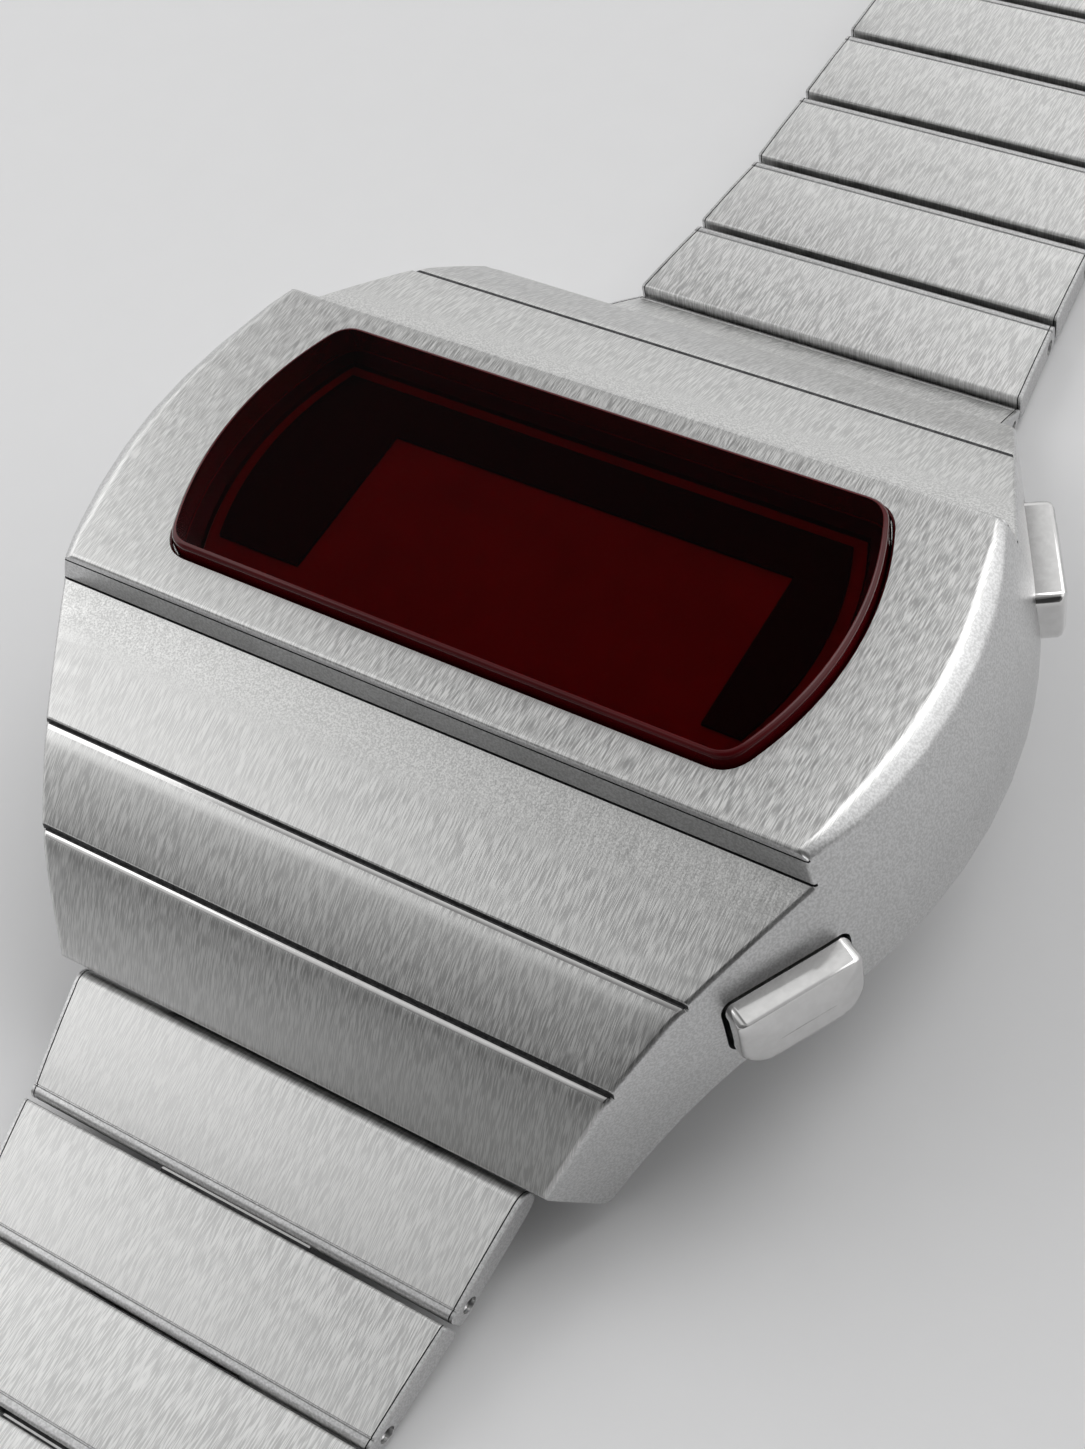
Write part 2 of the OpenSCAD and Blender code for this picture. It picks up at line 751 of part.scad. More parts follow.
module upper_button() { button(upper); }
module upper_button_clip() { button_clip(upper); }
module upper_button_spring() { button_spring(upper); }
module upper_button_seal() { button_seal(upper); }
module lower_button() { button(lower); }
module lower_button_clip() { button_clip(lower); }
module lower_button_spring() { button_spring(lower); }
module lower_button_seal() { button_seal(lower); }

// Bracelet

// Puts a piece at a link's own hinge, with its length along +Y and its top along +Z
module at_hinge(side, i) {
    at = hinge_at(side, i);
    translate([0, side * at[0], at[1]]) mirror([0, side == far ? 0 : 1, 0])
        rotate([-tilt(side, i), 0, 0]) children();
}

module spring_bar(side) {
    color(polished) translate([0, side * spring_bar_y, spring_bar_z])
        bar(spring_bar_r, spring_bar_l);
}

module near_spring_bar() { spring_bar(near); }
module far_spring_bar() { spring_bar(far); }

// Tongue: a barrel round the hinge's pin and a plate that its own sleeve holds
module tongue(width, barrel, bore, thickness, reach) {
    difference() {
        across(width) {
            circle(barrel);
            translate([0, -thickness / 2]) square([reach, thickness]);
        }
        bar(bore, width + 2);
    }
}

// Where a link's sleeve begins, from its hinge
function sleeve_start(i) = link_length(i) + link_r - link_sleeve(i);

// The sleeve with the slot for the next tongue and the bore for its pin
module sleeve(i, own_tongue_w, own_tongue_t) {
    start = sleeve_start(i);
    end = link_length(i) + link_r;
    rear_w = seam_w(i - 1);
    front_w = seam_w(i);
    slot_start = link_length(i) - slot_h / 2;
    held_w = own_tongue_w + 2 * hold_clearance;
    held_t = own_tongue_t + 2 * hold_clearance;
    difference() {
        intersection() {
            across(rear_w) stadium(start, end, link_t);
            linear_extrude(2 * link_t, center = true)
                polygon([[-rear_w / 2, start], [rear_w / 2, start],
                         [front_w / 2, end], [-front_w / 2, end]]);
        }
        translate([-tongue_slot_w / 2, slot_start, -slot_h / 2])
            cube([tongue_slot_w, link_pitch, slot_h]);
        translate([-held_w / 2, start - 1, -held_t / 2])
            cube([held_w, tongue_hold + 1 + hold_clearance, held_t]);
        translate([0, link_length(i), 0]) bar(pin_r + hold_clearance, 2 * bracelet_w);
    }
}

// One link: its sleeve, the tongue held in its rear and the pin in its front
module link(side, i) {
    end_t = 2 * tongue_t;
    first = i == 1;
    own_w = first ? lug_gap - 2 * tongue_gap : tongue_w;
    own_t = first ? end_t : tongue_t;
    color(steel) at_hinge(side, i) {
        sleeve(i, own_w, own_t);
        tongue(own_w, first ? end_barrel_r : barrel_r,
            first ? spring_bar_r + pin_clearance : pin_r + pin_clearance,
            own_t, sleeve_start(i) + tongue_hold);
        translate([0, link_length(i), 0]) bar(pin_r, seam_w(i) - 2 * pin_sink);
    }
}

// Clasp

module clasp_tongue(reach) {
    tongue(tongue_w, barrel_r, pin_r + pin_clearance, tongue_t, reach);
}

// Ladder plate on the 12 o'clock half; the hook drops into one of its slots
module clasp_ladder() {
    color(steel) at_hinge(far, far_links + 1) difference() {
        union() {
            clasp_tongue(ladder_start + 0.5);
            across(tongue_w) {
                translate([cover_pin_y, 0]) circle(link_r - pin_sink);
                translate([cover_pin_y, -link_r])
                    square([ladder_start + 0.5 - cover_pin_y, link_r]);
            }
            translate([-ladder_w / 2, ladder_start, -link_r])
                cube([ladder_w, clasp_l - ladder_start, plate_t]);
        }
        for (k = [0:ladder_slots - 1])
            translate([-hook_w / 2 - 0.5, first_slot_y + k * slot_pitch, -2 * link_r])
                cube([hook_w + 1, slot_l, 2 * link_r]);
        translate([0, cover_pin_y, 0]) bar(cover_pin_r + hold_clearance, bracelet_w);
    }
}

module clasp_pin() {
    color(polished) at_hinge(far, far_links + 1) translate([0, cover_pin_y, 0])
        bar(cover_pin_r, bracelet_end_w - 2 * pin_sink);
}

// Cover that folds down over the ladder and the hook
module clasp_cover() {
    color(steel) at_hinge(far, far_links + 1) difference() {
        union() {
            across(bracelet_end_w) {
                translate([cover_pin_y, 0]) circle(link_r);
                translate([cover_pin_y, link_r - plate_t])
                    square([clasp_l - cover_pin_y, plate_t]);
            }
            for (s = [-1, 1]) translate([s * (bracelet_end_w - plate_t) / 2, 0, 0])
                across(plate_t) translate([cover_pin_y, 2 * pin_sink - link_r])
                    square([clasp_l - cover_pin_y, link_r]);
        }
        translate([-tongue_slot_w / 2, cover_pin_y - 2 * link_r, -link_t])
            cube([tongue_slot_w, ladder_start - cover_pin_y + 2 * link_r, 2 * link_t]);
        translate([0, cover_pin_y, 0]) bar(cover_pin_r + pin_clearance, bracelet_w);
    }
}

// Hook plate on the 6 o'clock half, with its foot turned back under it
module hook() {
    start = link_r + sleeve_gap;
    web_l = 0.6;
    color(steel) at_hinge(near, near_links + 1) {
        clasp_tongue(start + web_l);
        across(hook_w) {
            translate([start, -tongue_t / 2]) square([web_l, link_r + tongue_t / 2]);
            translate([start, link_r - plate_t]) square([hook_l - start, plate_t]);
            translate([hook_l - plate_t, -link_r]) square([plate_t, link_t]);
            translate([hook_l - hook_foot[0], -link_r]) square(hook_foot);
        }
    }
}

case_body();
crystal();
crystal_gasket();
display_mask();
display_filter();
led_display();
circuit_board();
driver_chip();
timing_crystal();
trimmer();
module_frame();
module_screws();
battery_left();
battery_right();
battery_contacts();
upper_switch_leaf();
lower_switch_leaf();
case_back();
case_back_gasket();
case_back_screws();
near_spring_bar();
far_spring_bar();
upper_button();
upper_button_clip();
upper_button_spring();
upper_button_seal();
lower_button();
lower_button_clip();
lower_button_spring();
lower_button_seal();
for (i = [1:near_links]) link(near, i);
for (i = [1:far_links]) link(far, i);
hook();
clasp_ladder();
clasp_cover();
clasp_pin();
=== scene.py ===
import math

import bmesh
import bpy
from mathutils import Matrix, Vector


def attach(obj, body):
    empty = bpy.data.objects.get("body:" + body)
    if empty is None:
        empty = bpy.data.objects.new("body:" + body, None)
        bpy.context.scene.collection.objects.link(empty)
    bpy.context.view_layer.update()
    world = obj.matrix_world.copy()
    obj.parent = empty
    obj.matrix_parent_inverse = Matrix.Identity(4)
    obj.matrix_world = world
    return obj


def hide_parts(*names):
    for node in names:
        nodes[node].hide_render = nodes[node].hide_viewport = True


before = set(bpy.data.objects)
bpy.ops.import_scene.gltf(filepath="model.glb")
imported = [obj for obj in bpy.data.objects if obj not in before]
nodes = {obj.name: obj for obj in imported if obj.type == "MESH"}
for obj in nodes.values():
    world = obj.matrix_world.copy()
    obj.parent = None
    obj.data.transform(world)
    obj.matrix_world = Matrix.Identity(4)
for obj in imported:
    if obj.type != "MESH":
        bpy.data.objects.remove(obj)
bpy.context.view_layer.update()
scene = bpy.context.scene
print("watch: frame loaded")

# Camera at the photograph's viewing angle, places in millimetres in the row frame
mm = 0.001
cameraSetup = {
    "place": (35.71, -39.11, 73.361),
    "right": (0.84681, 0.50816, -0.15713),
    "up": (-0.34040, 0.74474, 0.57401),
    "back": (0.40871, -0.43259, 0.80363),
    "lens": 54.842, "sensor": 36, "clipStart": 0.005,
}
cameraData = bpy.data.cameras.new("camera")
cameraData.lens = cameraSetup["lens"]
cameraData.sensor_width = cameraSetup["sensor"]
cameraData.clip_start = cameraSetup["clipStart"]
camera = bpy.data.objects.new("camera", cameraData)
scene.collection.objects.link(camera)
camera.matrix_world = Matrix.Translation(Vector(cameraSetup["place"]) * mm) @ Matrix(
    (cameraSetup["right"], cameraSetup["up"], cameraSetup["back"])).transposed().to_4x4()
scene.camera = camera


# Shader helpers. An input is either a plain value or another node's socket.
def setSocket(tree, socket, value):
    if isinstance(value, bpy.types.NodeSocket):
        tree.links.new(value, socket)
    else:
        socket.default_value = value


def addNode(tree, kind, settings=None, inputs=None):
    node = tree.nodes.new(kind)
    for name, value in (settings or {}).items():
        setattr(node, name, value)
    for name, value in (inputs or {}).items():
        setSocket(tree, node.inputs[name], value)
    return node


def mathNode(tree, operation, first, second=0.0, third=0.0):
    inputs = {0: first, 1: second, 2: third}
    return addNode(tree, "ShaderNodeMath", {"operation": operation}, inputs).outputs[0]


def mapRange(tree, value, low, high, toLow=0.0, toHigh=1.0):
    settings = {"interpolation_type": "SMOOTHSTEP"}
    inputs = {"Value": value, "From Min": low, "From Max": high, "To Min": toLow, "To Max": toHigh}
    return addNode(tree, "ShaderNodeMapRange", settings, inputs).outputs["Result"]


# The colour sockets of a mix node lie behind the ones for plain numbers
def mixColour(tree, factor, first, second):
    node = addNode(tree, "ShaderNodeMix", {"data_type": "RGBA"})
    for index, value in ((0, factor), (6, first), (7, second)):
        setSocket(tree, node.inputs[index], value)
    return node.outputs[2]


def groupTree(name, inputs, outputs):
    tree = bpy.data.node_groups.new(name, "ShaderNodeTree")
    for socketName in inputs:
        tree.interface.new_socket(socketName, in_out="INPUT", socket_type="NodeSocketFloat")
    for socketName in outputs:
        tree.interface.new_socket(socketName, in_out="OUTPUT", socket_type="NodeSocketFloat")
    return tree, tree.nodes.new("NodeGroupInput"), tree.nodes.new("NodeGroupOutput")


# Shared textures. Each pair is the part of a noise that is stretched to the full range.
texture = {
    "strokeDetail": 1.0, "strokeRoughness": 0.5, "streak": (0.40, 0.62),
    "grainDetail": 2.0, "grainRoughness": 0.55, "speck": (0.36, 0.64),
    "cloudScale": 420.0, "cloudDetail": 2.0, "sheen": (0.3, 0.7),
}


# Brush strokes: fine lines along the watch's length
def brushStrokesGroup():
    tree, given, result = groupTree("brushStrokes", ["Across", "Along"], ["Height", "Streak"])
    place = addNode(tree, "ShaderNodeTexCoord").outputs["Object"]
    stretch = addNode(tree, "ShaderNodeCombineXYZ", None, {
        "X": given.outputs["Across"], "Y": given.outputs["Along"], "Z": given.outputs["Along"]})
    fine = addNode(tree, "ShaderNodeVectorMath", {"operation": "MULTIPLY"},
                   {0: place, 1: stretch.outputs[0]}).outputs[0]
    lines = addNode(tree, "ShaderNodeTexNoise", None, {
        "Vector": fine, "Scale": 1.0, "Detail": texture["strokeDetail"],
        "Roughness": texture["strokeRoughness"]}).outputs["Fac"]
    tree.links.new(lines, result.inputs["Height"])
    tree.links.new(mapRange(tree, lines, *texture["streak"]), result.inputs["Streak"])
    return tree


# Grain: the fine even texture of blasted and satin steel, and slow clouds over it
def grainGroup():
    tree, given, result = groupTree("grain", ["Size"], ["Height", "Speck", "Cloud"])
    place = addNode(tree, "ShaderNodeTexCoord").outputs["Object"]
    scale = mathNode(tree, "DIVIDE", 1.0, given.outputs["Size"])
    height = addNode(tree, "ShaderNodeTexNoise", None, {
        "Vector": place, "Scale": scale, "Detail": texture["grainDetail"],
        "Roughness": texture["grainRoughness"]}).outputs["Fac"]
    cloud = addNode(tree, "ShaderNodeTexNoise", None, {
        "Vector": place, "Scale": texture["cloudScale"], "Detail": texture["cloudDetail"]}).outputs["Fac"]
    tree.links.new(height, result.inputs["Height"])
    tree.links.new(mapRange(tree, height, *texture["speck"]), result.inputs["Speck"])
    tree.links.new(cloud, result.inputs["Cloud"])
    return tree


brushStrokes = brushStrokesGroup()
grain = grainGroup()


def newMaterial(name, inputs):
    material = bpy.data.materials.new(name)
    material.use_nodes = True
    tree = material.node_tree
    tree.nodes.clear()
    shader = addNode(tree, "ShaderNodeBsdfPrincipled", None, inputs)
    addNode(tree, "ShaderNodeOutputMaterial", None, {"Surface": shader.outputs[0]})
    return material, tree, shader


def useGroup(tree, group, inputs):
    node = addNode(tree, "ShaderNodeGroup", {"node_tree": group})
    for name, value in inputs.items():
        node.inputs[name].default_value = value
    return node


def setBump(tree, shader, height, depth):
    bump = addNode(tree, "ShaderNodeBump", None, {"Height": height, "Distance": depth})
    tree.links.new(bump.outputs[0], shader.inputs["Normal"])


def setColour(tree, shader, mask, dark, light):
    tree.links.new(mixColour(tree, mask, dark, light), shader.inputs["Base Color"])


def setRoughness(tree, shader, mask, rough):
    tree.links.new(mapRange(tree, mask, *texture["sheen"], *rough), shader.inputs["Roughness"])


# Brushed steel; on the first facet, near the step, the strokes give way to plain grain
def brushedSteel(name, look):
    material, tree, shader = newMaterial(name, {"Metallic": 1.0})
    strokes = useGroup(tree, brushStrokes, {"Across": look["across"], "Along": look["along"]})
    specks = useGroup(tree, grain, {"Size": look["grainSize"]})
    share = 1.0
    if "grainBand" in look:
        place = addNode(tree, "ShaderNodeTexCoord").outputs["Object"]
        along = addNode(tree, "ShaderNodeSeparateXYZ", None, {0: place}).outputs["Y"]
        away = mathNode(tree, "ABSOLUTE", along)
        leave, gone, back, full = [y * mm for y in look["grainBand"]]
        before = mapRange(tree, away, leave, gone, 1.0, 0.0)
        after = mapRange(tree, away, back, full)
        share = mathNode(tree, "MAXIMUM", before, after)
    strokeHeight = mathNode(tree, "MULTIPLY", strokes.outputs["Height"], share)
    plain = mathNode(tree, "SUBTRACT", 1.0, share)
    grainHeight = mathNode(tree, "MULTIPLY", specks.outputs["Height"],
                           mathNode(tree, "ADD", plain, look["grainShare"]))
    setBump(tree, shader, mathNode(tree, "ADD", strokeHeight, grainHeight), look["depth"] * mm)
    streak = mathNode(tree, "MULTIPLY", strokes.outputs["Streak"], share)
    flat = mathNode(tree, "MULTIPLY", plain, specks.outputs["Speck"])
    ground = mixColour(tree, specks.outputs["Cloud"], look["dark"], look["light"])
    setColour(tree, shader, mathNode(tree, "ADD", streak, flat), ground, look["bright"])
    setRoughness(tree, shader, strokes.outputs["Height"], look["rough"])
    return material


# Satin or polished metal: even grain, with a sheen that varies slowly
def satinSteel(name, look):
    material, tree, shader = newMaterial(name, {"Metallic": 1.0})
    specks = useGroup(tree, grain, {"Size": look["grainSize"]})
    setBump(tree, shader, specks.outputs["Height"], look["depth"] * mm)
    setColour(tree, shader, specks.outputs["Speck"], look["dark"], look["light"])
    setRoughness(tree, shader, specks.outputs["Cloud"], look["rough"])
    return material


# Moulded, lacquered or printed finishes that aren't metal
def plainFinish(name, look):
    material, tree, shader = newMaterial(name, {"Specular IOR Level": look.get("specular", 0.5)})
    specks = useGroup(tree, grain, {"Size": look["grainSize"]})
    setBump(tree, shader, specks.outputs["Height"], look["depth"] * mm)
    setColour(tree, shader, specks.outputs["Cloud"], look["dark"], look["light"])
    setRoughness(tree, shader, specks.outputs["Cloud"], look["rough"])
    return material


# In the looks, across and along are strokes per metre, grainSize is in metres and depth in
# millimetres; grainBand gives where the strokes fade out and in, in millimetres from the middle
caseTop = brushedSteel("brushedCase", {
    "across": 27000.0, "along": 1500.0, "grainSize": 0.00007, "grainShare": 0.4, "depth": 0.0035,
    "dark": (0.475, 0.475, 0.47, 1), "light": (0.50, 0.50, 0.495, 1), "bright": (0.69, 0.69, 0.68, 1),
    "rough": (0.28, 0.42), "grainBand": (7.9, 7.95, 9.0, 10.6)})
linkTop = brushedSteel("brushedLinks", {
    "across": 27000.0, "along": 1500.0, "grainSize": 0.00007, "grainShare": 0.35, "depth": 0.0035,
    "dark": (0.54, 0.54, 0.535, 1), "light": (0.58, 0.58, 0.575, 1), "bright": (0.76, 0.76, 0.75, 1),
    "rough": (0.30, 0.44)})
satin = satinSteel("satinSteel", {
    "grainSize": 0.00009, "depth": 0.005, "dark": (0.50, 0.50, 0.50, 1),
    "light": (0.64, 0.64, 0.64, 1), "rough": (0.30, 0.40)})
polished = satinSteel("polishedSteel", {
    "grainSize": 0.0004, "depth": 0.0006, "dark": (0.66, 0.655, 0.65, 1),
    "light": (0.7, 0.695, 0.69, 1), "rough": (0.07, 0.11)})
# Painted shade: near-black steel put on the seams' grooves, the far lips, the step lines, the links' cracks
# and the tongues' plates, where shade falls
paintedShadeSteel = satinSteel("paintedShadeSteel", {
    "grainSize": 0.0002, "depth": 0.002, "dark": (0.05, 0.05, 0.052, 1),
    "light": (0.09, 0.09, 0.092, 1), "rough": (0.5, 0.6)})
brushedSlot, satinSlot, polishedSlot, paintedShadeSlot = range(4)
steelSet = [caseTop, satin, polished, paintedShadeSteel]
linkSet = [linkTop, satin, polished, paintedShadeSteel]

# Ruby glass: clear through its face, and dark where the edge is ground
ruby = {
    "face": {"Roughness": 0.05, "Transmission Weight": 1.0, "IOR": 1.5,
             "Specular Tint": (0.03, 0.03, 0.03, 1)},
    "faceHaze": 0.0012, "faceDepth": 0.0004,
    "faceDark": (0.58, 0.07, 0.10, 1), "faceLight": (0.64, 0.09, 0.12, 1),
    "edge": {"Roughness": 0.1, "Specular IOR Level": 0.3},
    "edgeHaze": 0.0006, "edgeDark": (0.05, 0.002, 0.003, 1), "edgeLight": (0.10, 0.003, 0.005, 1),
}
crystalFace, tree, shader = newMaterial("rubyCrystal", ruby["face"])
haze = useGroup(tree, grain, {"Size": ruby["faceHaze"]})
setColour(tree, shader, haze.outputs["Cloud"], ruby["faceDark"], ruby["faceLight"])
setBump(tree, shader, haze.outputs["Height"], ruby["faceDepth"] * mm)
crystalEdge, tree, shader = newMaterial("rubyEdge", ruby["edge"])
haze = useGroup(tree, grain, {"Size": ruby["edgeHaze"]})
setColour(tree, shader, haze.outputs["Cloud"], ruby["edgeDark"], ruby["edgeLight"])

filterFinish = plainFinish("filterGlass", {
    "grainSize": 0.0008, "depth": 0.0005, "dark": (0.14, 0.010, 0.016, 1),
    "light": (0.18, 0.013, 0.020, 1), "rough": (0.25, 0.35), "specular": 0.02})
maskFinish = plainFinish("maskInk", {
    "grainSize": 0.0002, "depth": 0.0006, "dark": (0.004, 0.004, 0.0045, 1),
    "light": (0.006, 0.006, 0.0065, 1), "rough": (0.5, 0.6), "specular": 0.04})
rubberFinish = plainFinish("sealRubber", {
    "grainSize": 0.0002, "depth": 0.002, "dark": (0.012, 0.012, 0.013, 1),
    "light": (0.022, 0.022, 0.023, 1), "rough": (0.5, 0.65)})
displayFinish = plainFinish("displayCeramic", {
    "grainSize": 0.0002, "depth": 0.001, "dark": (0.10, 0.012, 0.012, 1),
    "light": (0.13, 0.016, 0.015, 1), "rough": (0.3, 0.4)})
boardFinish = plainFinish("boardLacquer", {
    "grainSize": 0.0003, "depth": 0.003, "dark": (0.02, 0.13, 0.06, 1),
    "light": (0.03, 0.17, 0.08, 1), "rough": (0.25, 0.4)})
chipFinish = plainFinish("chipEpoxy", {
    "grainSize": 0.00015, "depth": 0.002, "dark": (0.015, 0.015, 0.016, 1),
    "light": (0.025, 0.025, 0.026, 1), "rough": (0.45, 0.55)})
canFinish = satinSteel("canMetal", {
    "grainSize": 0.0003, "depth": 0.001, "dark": (0.6, 0.6, 0.58, 1),
    "light": (0.68, 0.68, 0.66, 1), "rough": (0.18, 0.28)})
frameFinish = plainFinish("framePlastic", {
    "grainSize": 0.00015, "depth": 0.003, "dark": (0.03, 0.03, 0.034, 1),
    "light": (0.045, 0.045, 0.05, 1), "rough": (0.45, 0.55)})
cellFinish = satinSteel("cellSteel", {
    "grainSize": 0.0003, "depth": 0.001, "dark": (0.62, 0.61, 0.58, 1),
    "light": (0.7, 0.69, 0.66, 1), "rough": (0.2, 0.3)})
contactFinish = satinSteel("contactGold", {
    "grainSize": 0.0002, "depth": 0.001, "dark": (0.72, 0.5, 0.2, 1),
    "light": (0.8, 0.58, 0.26, 1), "rough": (0.2, 0.3)})
print("watch: finishes made")

# Shape helpers. Points are in millimetres, and a loft's rings all have the same number of points.
# Vertices nearer to each other than weld become one; lengths below small or tiny count as none.
weld, small, tiny = 1e-5, 1e-6, 1e-9


def loft(rings):
    bm = bmesh.new()
    around, rows = len(rings[0]), len(rings) - 1
    bmesh.ops.create_grid(bm, x_segments=around, y_segments=rows, size=1.0)
    for vert in bm.verts:
        column = round((vert.co.x + 1) / 2 * around) % around
        row = round((vert.co.y + 1) / 2 * rows)
        vert.co = Vector(rings[row][column])
    bmesh.ops.remove_doubles(bm, verts=bm.verts, dist=weld)
    return bm


def closeEnds(bm):
    openEdges = [edge for edge in bm.edges if edge.is_boundary]
    if openEdges:
        bmesh.ops.holes_fill(bm, edges=openEdges, sides=0)
    bmesh.ops.recalc_face_normals(bm, faces=bm.faces)
    return bm


def prism(outline, low, high, axis="z"):
    def at(point, level):
        if axis == "z":
            return (point[0], point[1], level)
        return (level, point[0], point[1])
    return closeEnds(loft([[at(p, low) for p in outline], [at(p, high) for p in outline]]))


def rod(radius, start, end, axis="x", segments=48):
    bm = bmesh.new()
    bmesh.ops.create_cone(bm, cap_ends=True, segments=segments, radius1=radius, radius2=radius,
                          depth=end - start)
    bmesh.ops.translate(bm, verts=bm.verts, vec=(0, 0, (start + end) / 2))
    if axis == "x":
        bmesh.ops.rotate(bm, verts=bm.verts, matrix=Matrix.Rotation(math.pi / 2, 3, "Y"))
    return bm


def block(low, high):
    bm = bmesh.new()
    bmesh.ops.create_cube(bm, size=1.0)
    size = Vector(high) - Vector(low)
    bmesh.ops.scale(bm, verts=bm.verts, vec=size)
    bmesh.ops.translate(bm, verts=bm.verts, vec=Vector(low) + size / 2)
    return bm


def moved(bm, matrix):
    bmesh.ops.transform(bm, verts=bm.verts, matrix=matrix)
    if matrix.determinant() < 0:
        bmesh.ops.recalc_face_normals(bm, faces=bm.faces)
    return bm


def painted(bm, index):
    for face in bm.faces:
        face.material_index = index
    return bm


def joined(*parts):
    whole = bmesh.new()
    for part in parts:
        spare = bpy.data.meshes.new("spare")
        part.to_mesh(spare)
        whole.from_mesh(spare)
        bpy.data.meshes.remove(spare)
        part.free()
    return whole


def meshObject(name, bm, materials):
    mesh = bpy.data.meshes.new(name)
    bm.to_mesh(mesh)
    bm.free()
    for material in materials:
        mesh.materials.append(material)
    piece = bpy.data.objects.new(name, mesh)
    scene.collection.objects.link(piece)
    return piece


def applyModifiers(piece):
    depsgraph = bpy.context.evaluated_depsgraph_get()
    mesh = bpy.data.meshes.new_from_object(piece.evaluated_get(depsgraph))
    old = piece.data
    piece.modifiers.clear()
    piece.data = mesh
    bpy.data.meshes.remove(old)


def carve(bm, tools, materials, operation="DIFFERENCE"):
    piece = meshObject("carved", bm, materials)
    cutters = []
    for tool in tools:
        cutter = meshObject("cutter", tool, materials)
        cutters.append(cutter)
        modifier = piece.modifiers.new("carve", "BOOLEAN")
        modifier.operation = operation
        modifier.solver = "EXACT"
        modifier.material_mode = "INDEX"
        modifier.object = cutter
    bpy.context.view_layer.update()
    applyModifiers(piece)
    result = bmesh.new()
    result.from_mesh(piece.data)
    for spare in [piece] + cutters:
        mesh = spare.data
        bpy.data.objects.remove(spare)
        bpy.data.meshes.remove(mesh)
    return result


# Scales a piece to metres, shades it smooth up to the sharp angle, and puts it in the frame
def finishPiece(name, bm, materials, body, replaced, sharp=32.0):
    bmesh.ops.remove_doubles(bm, verts=bm.verts, dist=2 * weld)
    bmesh.ops.dissolve_degenerate(bm, edges=bm.edges, dist=weld)
    bmesh.ops.scale(bm, verts=bm.verts, vec=(mm, mm, mm))
    for face in bm.faces:
        face.smooth = True
    piece = meshObject(name, bm, materials)
    piece.data.set_sharp_from_angle(angle=math.radians(sharp))
    weighted = piece.modifiers.new("normals", "WEIGHTED_NORMAL")
    weighted.keep_sharp = True
    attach(piece, body)
    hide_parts(*replaced)


def between(value, low, high):
    return max(low, min(high, value))


def bezier(start, corner, end, steps):
    points = []
    for k in range(steps + 1):
        u = k / steps
        points.append(tuple(a * (1 - u) ** 2 + 2 * b * u * (1 - u) + c * u * u
                            for a, b, c in zip(start, corner, end)))
    return points


# Points on an arc of whole steps, from a start angle by a turn
def arcPoints(centre, radius, start, turn, steps):
    angles = [start + turn * k / steps for k in range(steps + 1)]
    return [(centre[0] + radius * math.cos(a), centre[1] + radius * math.sin(a)) for a in angles]


# A path through corners, each rounded over its own distance, or over a share of its shorter side
def roundedPath(corners, rounding, steps=4, share=0.48):
    path = [corners[0]]
    for k in range(1, len(corners) - 1):
        corner = Vector(corners[k])
        before = Vector(corners[k - 1]) - corner
        after = Vector(corners[k + 1]) - corner
        reach = min(rounding[k], share * before.length, share * after.length)
        if reach <= 0:
            path.append(corners[k])
            continue
        path += bezier(tuple(corner + before.normalized() * reach), corners[k],
                       tuple(corner + after.normalized() * reach), steps)
    path.append(corners[-1])
    return path


